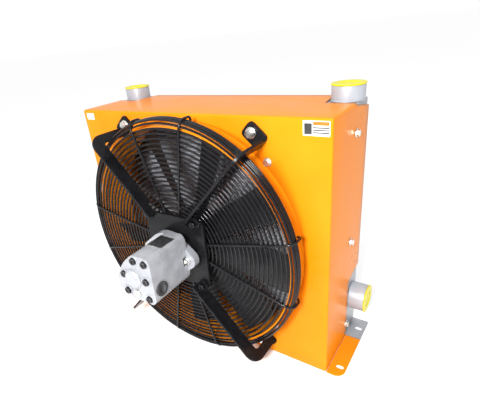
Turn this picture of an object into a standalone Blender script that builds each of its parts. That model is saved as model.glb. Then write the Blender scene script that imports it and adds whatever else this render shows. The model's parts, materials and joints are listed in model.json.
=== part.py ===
"""Air-blast hydraulic oil cooler: a bar-and-plate core in a folded sheet housing, and an axial
fan behind a wire guard, turned by a hydraulic gear motor on a four-armed bracket.

Frame: metres, +Z up.  The origin is the centre of the housing's underside, the fan and the
motor face -Y, and the side port leaves along +X.  Sizes below are millimetres.  A depth is
measured back from the housing's front face, so what stands in front of it is negative.
"""

import math

import bmesh
import bpy
from mathutils import Matrix, Vector

for old in list(bpy.data.objects):
    bpy.data.objects.remove(old, do_unlink=True)

# ---------------------------------------------------------------- driving dimensions
WIDTH = 620.0            # housing, side to side
HEIGHT = 547.0           # housing, underside to top
DEPTH = 195.0            # housing, front face to back edge
SHEET = 2.5              # housing sheet
FOLD_R = 3.0             # outside radius of a fold
GAP = 0.3                # between pieces that touch
RUN = 0.2                # round a shaft that turns
OVER = 10.0              # how far a cutter runs past the metal

FOOT_OUT = 35.0          # foot flange, out from the side panel
FOOT_T = 3.0
FOOT_CORNER_R = 20.0
SLOT_LONG = 17.0         # foot slot, along X
SLOT_WIDE = 10.0
SLOT_OUT = 21.0          # slot centre, out from the side panel
FRONT_SLOT = 27.0        # depth of the front slots

CORE_THICK = 66.7        # core, front to back
CORE_LOW = 3.3
CORE_SIDE_GAP = 0.8      # tank to side panel
TANK_WIDE = 56.7
TANK_WALL = 7.0
BAR_HIGH = 15.0          # solid bars above and below the tubes
TUBE_PITCH = 20.0
TUBE_HIGH = 5.0
FIN_RECESS = 6.0         # how far the fins lie behind the tube faces

PORT_IN = 30.0           # top port axis, in from the side of the housing
PORT_BORE_R = 19.0
SOCKET_R = 22.4
SOCKET_LONG = 22.0
BOSS_R = 31.0
WELD = 1.5               # weld fillet at a boss's root
BOSS_OVER = 26.0         # how far the top bosses stand above the housing
SIDE_PORT_Z = 99.0
SIDE_BOSS_LONG = 36.0
CAP_RIM = 1.2            # cap rim, out beyond the boss
CAP_T = 3.0
CAP_PLUG = 13.0          # how deep a cap's plug goes
CAP_WALL = 3.0
CORNER_CUT = 11.0        # top panel's cut-out round a port, down the side
NOTCH_OVER = 33.0        # side panel's notch, above the side boss

COLLAR_R = 256.0         # fan collar, inside
COLLAR_T = 3.3
COLLAR_FRONT = -52.0
COLLAR_BACK = 40.0
COLLAR_FLANGE = 26.0     # flange, out from the collar's inside
COLLAR_FLANGE_T = 3.0
COLLAR_BOLT_OUT = 14.0   # bolt circle, out from the collar's inside

TIP_GAP = 6.0            # blade tip to collar
HUB_R = 66.0
HUB_WALL = 7.0
HUB_WEB = 12.0           # web behind the hub's front
HUB_FRONT = -34.0
HUB_BACK = 18.0
BUSH_R = 24.0
BLADES = 9
BLADE_PHASE = 31.0       # degrees
CHORD_ROOT = 60.0
CHORD_TIP = 76.0
PITCH_ROOT = 36.0        # degrees from the plane of the fan
PITCH_TIP = 23.0
BLADE_MID = -8.0         # depth of the blades' middle
BLADE_T_ROOT = 4.5
BLADE_T_TIP = 3.0
CAMBER = 0.07            # of the chord

GUARD_OUT = 16.0         # rim wires, out from the collar's inside
GUARD_LAST = 8.0         # last wire of the face, out from the collar's inside
GUARD_X = -2.0           # the hand-bent basket hangs a little off the fan axis
GUARD_UP = 3.0
GUARD_FACE = -57.0       # depths of the face, of the last rim wire and of the spokes' ends
GUARD_RIM = -42.0
GUARD_BACK = -26.0
GUARD_WIRE = 2.2         # half thickness
GUARD_RINGS = 5          # in the face
GUARD_INNER_R = 66.0
GUARD_SIDES = 24
SPOKE_ANGLES = (13.4, 79.7, 108.3, 169.5, 195.6, 258.0, 285.0, 343.4)

PLATE = 156.0            # motor plate, side of the square
PLATE_CORNER_R = 6.0
PLATE_FRONT = -72.0
PLATE_T = 7.0
ARM_FRONT = -94.0
ARM_BACK = -64.0
ARM_T = 5.0
ARM_ANGLE = 47.5         # degrees above the horizontal
ARM_OFF = 17.0           # arm's middle from the fan axis, towards the vertical centre line
ARM_OVERLAP = 24.0       # how far an arm lies over the plate's corner
ARM_BEND_R = 30.0
ARM_PAST = 29.0          # arm, out beyond the rim wires
ARM_LEG = 21.0           # width of the arm's return leg
TAB_REACH = 46.0
TAB_ALONG = 34.0
BOLT_IN_TAB = 28.0       # tab bolt, in from the arm's middle plane
LUG_LONG = 22.0
LUG_WIDE = 26.0

FLANGE_FRONT = -100.0    # motor
FLANGE_T = 15.0
EAR_X = 51.0
EAR_R = 19.0
FLANGE_R = 51.0
FRONT_COVER_END = -112.0
GEAR_HOUSING_END = -165.0
MOTOR_END = -200.0
SPACER_R = 50.0
PILOT_R = 30.0
BODY_R = 9.0             # rounding of the motor body's corners
MOTOR_WALL = 5.0         # round the gears' cavity, at the bottom
SHAFT_R = 10.0
SHAFT_END = 22.0
JOURNAL_R = 8.5
MODULE = 2.2
TEETH = 12
GEAR_WIDE = 24.0
CAVITY_GAP = 0.3         # gear tip to cavity
SEAL_R = 17.5
SEAL_LONG = 8.0
MOTOR_PORT_DEPTH = -181.0
MOTOR_PORT_DROP = 16.0
MOTOR_PORT_FLOOR = 36.0  # port's bottom, out from the shaft axis
PLUG_R = 15.0
DRAIN_R = 5.5
DRAIN_LONG = 11.0
DOME_R = 21.0
DOME_HIGH = 6.0

M10_R = 5.0
M8_R = 4.0
BOLT_CLEAR = 0.4
SIDE_BOLT_AHEAD = 7.3    # side bolts, ahead of the core
SIDE_BOLT_LOW = 42.0
SIDE_BOLT_MID = 10.5     # middle bolts, below the housing's middle
SIDE_BOLT_HIGH = 54.0    # top bolts, below the housing's top

# ---------------------------------------------------------------- sizes that follow
HALF = WIDTH / 2
AXIS_Z = HEIGHT / 2      # fan and motor axis
CORE_FRONT = DEPTH - CORE_THICK
FLOOR_DEPTH = CORE_FRONT - 2.3
CORNER_DEPTH = CORE_FRONT - 8.3
PORT_DEPTH = DEPTH - CORE_THICK / 2
SIDE_BOLT_DEPTH = CORE_FRONT - SIDE_BOLT_AHEAD
SIDE_BOLT_Z = {"low": SIDE_BOLT_LOW, "mid": AXIS_Z - SIDE_BOLT_MID, "high": HEIGHT - SIDE_BOLT_HIGH}
TANK_OUT = HALF - SHEET - CORE_SIDE_GAP
TANK_IN = TANK_OUT - TANK_WIDE
CORE_HIGH = HEIGHT - SHEET - GAP
PORT_X = HALF - PORT_IN
BOSS_TOP = HEIGHT + BOSS_OVER
COLLAR_FLANGE_R = COLLAR_R + COLLAR_FLANGE
COLLAR_BOLT_R = COLLAR_R + COLLAR_BOLT_OUT
TIP_R = COLLAR_R - TIP_GAP
GUARD_R = COLLAR_R + GUARD_OUT
ARM_OUT = GUARD_R + ARM_PAST
PLATE_BACK = PLATE_FRONT + PLATE_T
ARM_START = PLATE / 2 * math.sqrt(2) - ARM_OVERLAP
FLANGE_BACK = FLANGE_FRONT + FLANGE_T
GEAR_DROP = MODULE * TEETH
CAVITY_R = MODULE * TEETH / 2 + 0.92 * MODULE + CAVITY_GAP
GEAR_MID = (FRONT_COVER_END + GEAR_HOUSING_END) / 2
GEAR_BACK = GEAR_MID - GEAR_WIDE / 2
GEAR_FRONT = GEAR_MID + GEAR_WIDE / 2
QUADRANTS = {"top_left": (-1, 1), "top_right": (1, 1), "bottom_left": (-1, -1), "bottom_right": (1, -1)}
SIDES = {"left": -1, "right": 1}

# Outline of the motor body seen from the front of the cooler, round the shaft axis.
BODY_LOW = -GEAR_DROP - CAVITY_R - MOTOR_WALL
FLANK = {"left": 48.0, "right": 50.0}
BODY = [(-FLANK["left"], -30), (-FLANK["left"], 0), (-22, 34), (6, 58), (44, 58), (FLANK["right"], 48)]
BODY += [(FLANK["right"], BODY_LOW + 12), (42, BODY_LOW), (-6, BODY_LOW), (-22, BODY_LOW + 4), (-38, BODY_LOW + 5)]
COVER_SCREWS = {"1": (10, 46), "2": (38, 46), "3": (-25, 8), "4": (34, 6), "5": (-24, -31), "6": (34, -34)}
DRAIN = (2, -30)
DOME = (-2, 2)

PALETTE = {
    "orange_paint": ((0.93, 0.42, 0.03), 0.0, 0.35),
    "black_wire": ((0.015, 0.015, 0.017), 0.0, 0.35),
    "black_paint": ((0.02, 0.02, 0.022), 0.0, 0.4),
    "fan_plastic": ((0.02, 0.02, 0.022), 0.0, 0.5),
    "core_aluminium": ((0.62, 0.63, 0.64), 1.0, 0.45),
    "motor_aluminium": ((0.75, 0.75, 0.76), 1.0, 0.4),
    "yellow_plastic": ((0.95, 0.80, 0.03), 0.0, 0.4),
    "black_plastic": ((0.03, 0.03, 0.035), 0.0, 0.45),
    "zinc_steel": ((0.70, 0.70, 0.70), 1.0, 0.3),
    "black_steel": ((0.06, 0.06, 0.065), 1.0, 0.4),
    "gear_steel": ((0.55, 0.55, 0.57), 1.0, 0.3),
    "bearing_bronze": ((0.66, 0.50, 0.28), 1.0, 0.35),
    "seal_rubber": ((0.04, 0.04, 0.04), 0.0, 0.7),
}


def material(name):
    """The named finish, made the first time it is asked for."""
    if name in bpy.data.materials:
        return bpy.data.materials[name]
    colour, metallic, roughness = PALETTE[name]
    made = bpy.data.materials.new(name)
    made.use_nodes = True
    shader = made.node_tree.nodes["Principled BSDF"]
    shader.inputs["Base Color"].default_value = (*colour, 1.0)
    shader.inputs["Metallic"].default_value = metallic
    shader.inputs["Roughness"].default_value = roughness
    made.diffuse_color = (*colour, 1.0)
    return made


# ---------------------------------------------------------------- where things go
def at(x, depth, z):
    """A point in metres from x, a depth and a height in millimetres."""
    return Vector((x, depth - DEPTH / 2, z)) / 1000


def front_axis(x, z):
    """Places (u, v, w) with u to +X, v to +Z and w as the depth, round an axis at (x, z)."""
    return lambda u, v, w: at(x + u, w, z + v)


def up_axis(x, depth):
    """Places (u, v, w) round an upright axis, with w as the height."""
    return lambda u, v, w: at(x + u, depth + v, w)


def side_axis(depth, z, sign=1):
    """Places (u, v, w) round an axis along X, with w as the distance out from the middle."""
    return lambda u, v, w: at(sign * w, depth + u, z + v)


FAN = front_axis(0, AXIS_Z)
IDLER = front_axis(0, AXIS_Z - GEAR_DROP)
GUARD = front_axis(GUARD_X, AXIS_Z + GUARD_UP)


# ---------------------------------------------------------------- making solids
def new_object(name, bm):
    bmesh.ops.recalc_face_normals(bm, faces=bm.faces)
    mesh = bpy.data.meshes.new(name)
    bm.to_mesh(mesh)
    bm.free()
    made = bpy.data.objects.new(name, mesh)
    bpy.context.scene.collection.objects.link(made)
    return made


def prism(name, outline, start, end, place):
    """A closed outline of (u, v) points, pushed from start to end."""
    bm = bmesh.new()
    near = [bm.verts.new(place(u, v, start)) for u, v in outline]
    far = [bm.verts.new(place(u, v, end)) for u, v in outline]
    bm.faces.new(near)
    bm.faces.new(far)
    count = len(outline)
    for i in range(count):
        j = (i + 1) % count
        bm.faces.new((near[i], near[j], far[j], far[i]))
    return new_object(name, bm)


def box(name, x, depth, z):
    """A block between the two values of each of x, depth and z."""
    outline = [(x[0], depth[0]), (x[1], depth[0]), (x[1], depth[1]), (x[0], depth[1])]
    return prism(name, outline, z[0], z[1], at)


def lathe(name, profile, place, segments=24):
    """A closed profile of (radius, along) points, turned round the axis that place gives."""
    bm = bmesh.new()
    poles = {k: bm.verts.new(place(0, 0, w)) for k, (r, w) in enumerate(profile) if r == 0}
    rings = []
    for i in range(segments):
        turn = 2 * math.pi * i / segments
        ring = []
        for k, (r, w) in enumerate(profile):
            ring.append(poles.get(k) or bm.verts.new(place(r * math.cos(turn), r * math.sin(turn), w)))
        rings.append(ring)
    count = len(profile)
    for i in range(segments):
        here = rings[i]
        there = rings[(i + 1) % segments]
        for k in range(count):
            m = (k + 1) % count
            corners = list(dict.fromkeys((here[k], here[m], there[m], there[k])))
            if len(corners) > 2:
                bm.faces.new(corners)
    return new_object(name, bm)


def rod(name, r, start, end, place, segments=12):
    """A plain cylinder."""
    return lathe(name, [(0, start), (r, start), (r, end), (0, end)], place, segments)


def boolean(target, others, operation):
    """Applies an exact Boolean with each of the other objects, and removes them."""
    for other in others:
        step = target.modifiers.new(operation, "BOOLEAN")
        step.operation = operation
        step.solver = "EXACT"
        step.object = other
        bpy.context.view_layer.update()
        graph = bpy.context.evaluated_depsgraph_get()
        mesh = bpy.data.meshes.new_from_object(target.evaluated_get(graph))
        target.modifiers.clear()
        target.data = mesh
        bpy.data.objects.remove(other, do_unlink=True)
    return target


def cut(target, *others):
    return boolean(target, others, "DIFFERENCE")


def join(target, *others):
    return boolean(target, others, "UNION")


def loose(pieces):
    """Several closed pieces that stay apart, as one cutter."""
    bm = bmesh.new()
    for piece in pieces:
        bm.from_mesh(piece.data)
        bpy.data.objects.remove(piece, do_unlink=True)
    return new_object("loose", bm)


def arc(cx, cy, r, start, end, steps):
    """Points along an arc, angles in degrees."""
    turns = [math.radians(start + (end - start) * i / steps) for i in range(steps + 1)]
    return [(cx + r * math.cos(t), cy + r * math.sin(t)) for t in turns]


def rounded(points, radius, steps=3):
    """A closed outline whose corners are curves that start this far along each side."""
    out = []
    count = len(points)
    for i, point in enumerate(points):
        p = Vector(point)
        a = Vector(points[i - 1]) - p
        b = Vector(points[(i + 1) % count]) - p
        reach = min(radius, a.length * 0.45, b.length * 0.45)
        first = p + a.normalized() * reach
        last = p + b.normalized() * reach
        for k in range(steps + 1):
            t = k / steps
            q = first * (1 - t) ** 2 + p * 2 * t * (1 - t) + last * t**2
            out.append((q.x, q.y))
    return out


def finish(made, name, slot, origin=None):
    """Names a piece, gives it its finish, and puts its origin on the axis that it moves on."""
    made.name = name
    made.data.name = name
    made.data.materials.clear()
    made.data.materials.append(material(slot))
    made.data.shade_smooth()
    made.data.set_sharp_from_angle(angle=math.radians(35))
    if origin is not None:
        made.data.transform(Matrix.Translation(-origin))
        made.location = origin
    return made


# ---------------------------------------------------------------- where the bolts are
def arm_place(sx, sz):
    """Places (along the arm, off it towards the vertical centre line, depth)."""
    turn = math.radians(ARM_ANGLE)
    c = math.cos(turn)
    s = math.sin(turn)
    return lambda u, v, w: at(sx * (u * c - v * s), w, AXIS_Z + sz * (u * s + v * c))


def tab_bolt_axis(sx, sz):
    middle = ARM_OUT - ARM_LEG / 2
    turn = math.radians(ARM_ANGLE)
    off = ARM_OFF + BOLT_IN_TAB
    x = middle * math.cos(turn) - off * math.sin(turn)
    z = middle * math.sin(turn) + off * math.cos(turn)
    return front_axis(sx * x, AXIS_Z + sz * z)


def collar_bolt_axis(sx, sz):
    reach = COLLAR_BOLT_R * math.sqrt(0.5)
    return front_axis(sx * reach, AXIS_Z + sz * reach)


# ---------------------------------------------------------------- housing
def make_housing():
    """One folded blank: a front panel with four sides bent back, and what is cut out of it."""
    back = DEPTH + OVER
    past = (-HALF - OVER, HALF + OVER)
    housing = box("housing", (-HALF, HALF), (0, DEPTH + FOLD_R + 1), (0, HEIGHT))
    fold = housing.modifiers.new("fold", "BEVEL")
    fold.width = FOLD_R / 1000
    fold.segments = 2
    bpy.context.view_layer.update()
    graph = bpy.context.evaluated_depsgraph_get()
    folded = bpy.data.meshes.new_from_object(housing.evaluated_get(graph))
    housing.modifiers.clear()
    housing.data = folded
    inner = (SHEET - HALF, HALF - SHEET)
    cut(
        housing,
        box("inside", inner, (SHEET, back), (SHEET, HEIGHT - SHEET)),
        box("back", past, (DEPTH, back), (-OVER, HEIGHT + OVER)),
        box("floor_end", past, (FLOOR_DEPTH, back), (-OVER, FOOT_T + 1)),
    )
    for sign in SIDES.values():
        x = sorted((sign * (PORT_X - BOSS_R - WELD - 1), sign * (HALF + OVER)))
        z = (HEIGHT - CORNER_CUT, HEIGHT + OVER)
        cut(housing, box("port_corner", x, (CORNER_DEPTH, back), z))
    front = PORT_DEPTH - BOSS_R - WELD - 3
    top = SIDE_PORT_Z + BOSS_R + NOTCH_OVER
    notch = [(front, -OVER), (back, -OVER), (back, top), (front + 20, top), (front, top - 20)]
    cut(housing, prism("notch", rounded(notch, 14, 2), HALF - OVER, HALF + OVER, lambda u, v, w: at(w, u, v)))
    holes = [rod("opening", COLLAR_R + COLLAR_T + GAP + 0.3, -OVER, OVER, FAN, 48)]
    for sx, sz in QUADRANTS.values():
        holes.append(rod("hole", M10_R + BOLT_CLEAR, -OVER, OVER, tab_bolt_axis(sx, sz)))
        holes.append(rod("hole", M8_R + BOLT_CLEAR, -OVER, OVER, collar_bolt_axis(sx, sz)))
    for sign in SIDES.values():
        for z in SIDE_BOLT_Z.values():
            axis = side_axis(SIDE_BOLT_DEPTH, z, sign)
            holes.append(rod("hole", M8_R + BOLT_CLEAR, HALF - OVER, HALF + OVER, axis))
    cut(housing, loose(holes))
    finish(housing, "fan_housing", "orange_paint")


def make_collar():
    """A rolled ring that stands out of the front panel and runs back round the blades."""
    out = COLLAR_R + COLLAR_T
    near = SHEET + GAP
    far = near + COLLAR_FLANGE_T
    profile = [(COLLAR_R, COLLAR_FRONT), (out, COLLAR_FRONT), (out, near), (COLLAR_FLANGE_R, near)]
    profile += [(COLLAR_FLANGE_R, far), (out, far), (out, COLLAR_BACK), (COLLAR_R, COLLAR_BACK)]
    collar = lathe("collar", profile, FAN, 48)
    holes = []
    for sx, sz in QUADRANTS.values():
        holes.append(rod("hole", M8_R + BOLT_CLEAR, -OVER, far + OVER, collar_bolt_axis(sx, sz)))
    cut(collar, loose(holes))
    flat = (near - 1, far + 1)
    wide = (-COLLAR_FLANGE_R - OVER, COLLAR_FLANGE_R + OVER)
    cut(
        collar,
        box("floor", wide, flat, (-COLLAR_FLANGE_R, SHEET + GAP)),
        box("top", wide, flat, (HEIGHT - SHEET - GAP, HEIGHT + COLLAR_FLANGE_R)),
    )
    finish(collar, "fan_collar", "orange_paint")


def slot_cutter(x, depth):
    r = SLOT_WIDE / 2
    reach = (SLOT_LONG - SLOT_WIDE) / 2
    outline = arc(x + reach, depth, r, -90, 90, 6) + arc(x - reach, depth, r, 90, 270, 6)
    return prism("slot", outline, -OVER, OVER, at)


def make_feet():
    outer = HALF + FOOT_OUT
    for side, sign in SIDES.items():
        corner = arc(outer - FOOT_CORNER_R, FOOT_CORNER_R, FOOT_CORNER_R, -90, 0, 5)
        outline = [(HALF + GAP, 0.0)] + corner + [(outer, FLOOR_DEPTH), (HALF + GAP, FLOOR_DEPTH)]
        flange = prism("flange", [(sign * u, v) for u, v in outline], 0, FOOT_T, at)
        cut(flange, slot_cutter(sign * (HALF + SLOT_OUT), FRONT_SLOT))
        finish(flange, f"foot_flange_{side}", "orange_paint")
        x = sorted((sign * TANK_IN, sign * outer))
        bracket = box("bracket", x, (CORE_FRONT, DEPTH), (0, FOOT_T))
        cut(bracket, slot_cutter(sign * (HALF + SLOT_OUT), PORT_DEPTH))
        finish(bracket, f"core_foot_{side}", "core_aluminium")


# ---------------------------------------------------------------- core
def make_core():
    half = TANK_IN - GAP
    depth = (CORE_FRONT, DEPTH)
    bottom = box("bar", (-half, half), depth, (CORE_LOW, CORE_LOW + BAR_HIGH))
    finish(bottom, "core_bar_bottom", "core_aluminium")
    top = box("bar", (-half, half), depth, (CORE_HIGH - BAR_HIGH, CORE_HIGH))
    finish(top, "core_bar_top", "core_aluminium")
    low = CORE_LOW + BAR_HIGH + GAP
    high = CORE_HIGH - BAR_HIGH - GAP
    tubes = round((high - low) / TUBE_PITCH)
    pitch = (high - low - TUBE_HIGH) / tubes
    front = []
    for i in range(tubes):
        z = low + i * pitch
        front += [(CORE_FRONT, z), (CORE_FRONT, z + TUBE_HIGH)]
        front += [(CORE_FRONT + FIN_RECESS, z + TUBE_HIGH), (CORE_FRONT + FIN_RECESS, z + pitch)]
    front += [(CORE_FRONT, high - TUBE_HIGH), (CORE_FRONT, high)]
    back = [(CORE_FRONT + DEPTH - d, z) for d, z in reversed(front)]
    tube_block = prism("tubes", front + back, -half, half, lambda u, v, w: at(w, u, v))
    finish(tube_block, "core_tube_block", "core_aluminium")


def make_tanks():
    for side, sign in SIDES.items():
        x = sorted((sign * TANK_IN, sign * TANK_OUT))
        tank = box("tank", x, (CORE_FRONT, DEPTH), (CORE_LOW, CORE_HIGH))
        hollow_x = (x[0] + TANK_WALL, x[1] - TANK_WALL)
        hollow_depth = (CORE_FRONT + TANK_WALL, DEPTH - TANK_WALL)
        hollow_z = (CORE_LOW + TANK_WALL, CORE_HIGH - TANK_WALL)
        cut(tank, box("hollow", hollow_x, hollow_depth, hollow_z))
        top = up_axis(sign * PORT_X, PORT_DEPTH)
        cut(tank, rod("well", PORT_BORE_R, CORE_HIGH - TANK_WALL - 3, CORE_HIGH + OVER, top, 20))
        if side == "right":
            out = side_axis(PORT_DEPTH, SIDE_PORT_Z)
            cut(tank, rod("well", PORT_BORE_R, TANK_OUT - TANK_WALL - 3, TANK_OUT + OVER, out, 20))
        finish(tank, f"header_tank_{side}", "core_aluminium")


def make_port(name, place, base, top, origin):
    """A turned boss with a weld fillet at its root, and the plastic cap that plugs it."""
    profile = [(PORT_BORE_R, base), (BOSS_R + WELD, base), (BOSS_R, base + 3), (BOSS_R, top)]
    profile += [(SOCKET_R, top), (SOCKET_R, top - SOCKET_LONG), (PORT_BORE_R, top - SOCKET_LONG - 2)]
    finish(lathe("boss", profile, place, 20), f"port_boss_{name}", "core_aluminium")
    lip = top + GAP
    rim = BOSS_R + CAP_RIM
    plug = SOCKET_R - 0.5
    high = lip + CAP_T
    bore = plug - CAP_WALL
    profile = [(0, lip + 1.5), (plug - 4, lip + 1.5), (plug - 2, high), (rim, high), (rim, lip), (plug, lip)]
    profile += [(plug - 0.5, lip - CAP_PLUG), (bore, lip - CAP_PLUG), (bore, lip - 1.2), (0, lip - 1.2)]
    finish(lathe("cap", profile, place, 20), f"port_cap_{name}", "yellow_plastic", origin)


def make_ports():
    for side, sign in SIDES.items():
        place = up_axis(sign * PORT_X, PORT_DEPTH)
        origin = at(sign * PORT_X, PORT_DEPTH, BOSS_TOP)
        make_port(f"top_{side}", place, CORE_HIGH + GAP, BOSS_TOP, origin)
    top = TANK_OUT + GAP + SIDE_BOSS_LONG
    origin = at(top, PORT_DEPTH, SIDE_PORT_Z)
    make_port("side", side_axis(PORT_DEPTH, SIDE_PORT_Z), TANK_OUT + GAP, top, origin)


# ---------------------------------------------------------------- guard
def wire_ring(r, depth):
    t = GUARD_WIRE
    return lathe("ring", [(r - t, depth), (r, depth - t), (r + t, depth), (r, depth + t)], GUARD, GUARD_SIDES)


def make_guard():
    """Rings of wire held by bent spokes, as one welded basket."""
    t = GUARD_WIRE
    last = COLLAR_R + GUARD_LAST
    step = (last - GUARD_INNER_R) / (GUARD_RINGS - 1)
    rings = [wire_ring(GUARD_INNER_R + step * i, GUARD_FACE) for i in range(GUARD_RINGS)]
    guard = wire_ring(GUARD_R, GUARD_RIM)
    inner = GUARD_INNER_R - 4
    front = GUARD_FACE - t
    back = GUARD_FACE + t - 1
    reach = GUARD_R + 1
    outline = [(inner, front), (last, front), (reach, GUARD_RIM - t - 1), (reach, GUARD_BACK)]
    outline += [(reach - 2 * t, GUARD_BACK), (reach - 2 * t, GUARD_RIM - 1), (last - 3, back), (inner, back)]
    spokes = []
    for angle in SPOKE_ANGLES:
        turn = math.radians(angle)
        c = math.cos(turn)
        s = math.sin(turn)
        place = lambda u, v, w, c=c, s=s: GUARD(u * c - w * s, u * s + w * c, v)
        spokes.append(prism("spoke", outline, -t, t, place))
    join(guard, loose(spokes), loose(rings))
    finish(guard, "wire_guard", "black_wire")


# ---------------------------------------------------------------- motor bracket
def make_plate():
    half = PLATE / 2
    corners = [(-half, -half), (half, -half), (half, half), (-half, half)]
    plate = prism("plate", rounded(corners, PLATE_CORNER_R), PLATE_FRONT, PLATE_BACK, FAN)
    holes = [rod("pilot", PILOT_R, PLATE_FRONT - OVER, PLATE_BACK + OVER, FAN, 24)]
    for sign in SIDES.values():
        axis = front_axis(sign * EAR_X, AXIS_Z)
        holes.append(rod("hole", M10_R + BOLT_CLEAR, PLATE_FRONT - OVER, PLATE_BACK + OVER, axis))
    cut(plate, loose(holes))
    finish(plate, "motor_plate", "black_paint")
    near = FLANGE_BACK + GAP
    far = PLATE_FRONT - GAP
    spacer = lathe("spacer", [(PILOT_R, far), (SPACER_R, far), (SPACER_R, near), (PILOT_R, near)], FAN, 32)
    for sign in SIDES.values():
        axis = front_axis(sign * EAR_X, AXIS_Z)
        cut(spacer, rod("notch", M10_R + 1.5, FLANGE_FRONT, PLATE_BACK, axis))
    finish(spacer, "motor_spacer", "black_paint")


def make_arms():
    """Each arm is a flat bar on edge, bent back outside the guard to a tab on the housing."""
    near = ARM_OFF - ARM_T / 2
    far = ARM_OFF + ARM_T / 2
    on_plate = PLATE_FRONT - GAP
    plate_corner = PLATE / 2 * math.sqrt(2) + 4
    leg = ARM_OUT - ARM_LEG
    outline = [(ARM_START, ARM_FRONT)]
    outline += arc(ARM_OUT - ARM_BEND_R, ARM_FRONT + ARM_BEND_R, ARM_BEND_R, -90, 0, 5)
    outline += [(ARM_OUT, -GAP), (leg, -GAP), (leg, ARM_BACK + 6), (leg - 6, ARM_BACK)]
    outline += [(plate_corner, ARM_BACK), (plate_corner, on_plate), (ARM_START, on_plate)]
    middle = ARM_OUT - ARM_LEG / 2
    along = TAB_ALONG / 2
    reach = near + TAB_REACH
    tab = [(middle - along, near), (middle + along, near), (middle + along, reach), (middle - along, reach)]
    lug_end = ARM_START + LUG_LONG
    lug = [(ARM_START, far), (ARM_START, far - LUG_WIDE), (lug_end, far - LUG_WIDE), (lug_end, far)]
    for name, (sx, sz) in QUADRANTS.items():
        place = arm_place(sx, sz)
        arm = prism("arm", outline, near, far, lambda u, v, w, place=place: place(u, w, v))
        join(arm, prism("tab", rounded(tab, 9), -ARM_T - GAP, -GAP, place))
        join(arm, prism("lug", rounded(lug, 5, 2), on_plate - ARM_T, on_plate, place))
        cut(arm, rod("hole", M10_R + BOLT_CLEAR, -ARM_T - OVER, OVER, tab_bolt_axis(sx, sz)))
        finish(arm, f"bracket_arm_{name}", "black_paint")


# ---------------------------------------------------------------- fasteners
def hex_bolt(name, place, face, out, shank_r, long, slot="zinc_steel"):
    """A flanged hexagon bolt on a face; out is -1 where its head points to smaller w."""
    seat = face + out * GAP
    washer = seat + out * 0.4 * shank_r
    washer_r = 2.15 * shank_r
    profile = [(0, seat - out * long), (shank_r, seat - out * long), (shank_r, seat)]
    profile += [(washer_r, seat), (washer_r, washer), (0, washer)]
    bolt = lathe("bolt", profile, place, 12)
    head = arc(0, 0, 1.75 * shank_r, 10, 310, 5)
    join(bolt, prism("head", head, washer - out * 0.8, washer + out * 1.3 * shank_r, place))
    finish(bolt, name, slot)


def socket_screw(name, place, seat, end, shank_r, slot):
    """A cylinder-head screw with a socket, seated at a depth and reaching back to end."""
    top = seat - GAP
    head_r = 1.62 * shank_r + 0.6
    high = 1.3 * shank_r
    profile = [(0, top - 0.5 * high), (0.75 * shank_r, top - 0.5 * high), (0.75 * shank_r, top - high)]
    profile += [(head_r, top - high), (head_r, top)]
    profile += [(shank_r, top), (shank_r, end), (0, end)]
    finish(lathe("screw", profile, place, 12), name, slot)


def make_panel_bolts():
    for name, (sx, sz) in QUADRANTS.items():
        hex_bolt(f"arm_bolt_{name}", tab_bolt_axis(sx, sz), -ARM_T - GAP, -1, M10_R, ARM_T + SHEET + 6)
        hex_bolt(f"collar_bolt_{name}", collar_bolt_axis(sx, sz), 0, -1, M8_R, SHEET + 9)
    for side, sign in SIDES.items():
        for height, z in SIDE_BOLT_Z.items():
            axis = side_axis(SIDE_BOLT_DEPTH, z, sign)
            hex_bolt(f"side_bolt_{side}_{height}", axis, HALF, 1, M8_R, SHEET + 8)


# ---------------------------------------------------------------- motor
def body_block(name, start, end):
    return prism(name, rounded(BODY, BODY_R, 2), start, end, FAN)


def screw_holes():
    holes = []
    for x, z in COVER_SCREWS.values():
        axis = front_axis(x, AXIS_Z + z)
        holes.append(rod("hole", M8_R + BOLT_CLEAR, MOTOR_END - OVER, FRONT_COVER_END + 6, axis))
    return loose(holes)


def make_front_cover():
    lean = math.degrees(math.acos((FLANGE_R - EAR_R) / EAR_X))
    outline = arc(0, 0, FLANGE_R, lean, 180 - lean, 8) + arc(-EAR_X, 0, EAR_R, 180 - lean, 180 + lean, 6)
    outline += arc(0, 0, FLANGE_R, 180 + lean, 360 - lean, 8) + arc(EAR_X, 0, EAR_R, -lean, lean, 6)
    cover = prism("cover", outline, FLANGE_FRONT, FLANGE_BACK, FAN)
    join(cover, body_block("neck", FRONT_COVER_END, FLANGE_FRONT + 3))
    holes = [rod("bore", SHAFT_R + 3, FRONT_COVER_END - OVER, FLANGE_BACK + OVER, FAN, 24)]
    for sign in SIDES.values():
        axis = front_axis(sign * EAR_X, AXIS_Z)
        holes.append(rod("hole", M10_R + BOLT_CLEAR, FRONT_COVER_END - OVER, FLANGE_BACK + OVER, axis))
    cut(cover, rod("seal_pocket", SEAL_R + GAP, FLANGE_BACK - SEAL_LONG - 1, FLANGE_BACK + OVER, FAN, 28))
    cut(cover, loose(holes), screw_holes())
    for sign in SIDES.values():
        axis = front_axis(sign * EAR_X, AXIS_Z)
        cut(cover, rod("seat", 2.2 * M10_R, FRONT_COVER_END - OVER, FLANGE_FRONT, axis, 16))
    finish(cover, "motor_front_cover", "motor_aluminium")


def make_gear_housing():
    housing = body_block("gear_housing", GEAR_HOUSING_END, FRONT_COVER_END - GAP)
    for place in (FAN, IDLER):
        cut(housing, rod("cavity", CAVITY_R, GEAR_HOUSING_END - OVER, FRONT_COVER_END + OVER, place, 30))
    cut(housing, screw_holes())
    finish(housing, "motor_gear_housing", "motor_aluminium")


def motor_port_axis(sign):
    return side_axis(MOTOR_PORT_DEPTH, AXIS_Z - MOTOR_PORT_DROP, sign)


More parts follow.
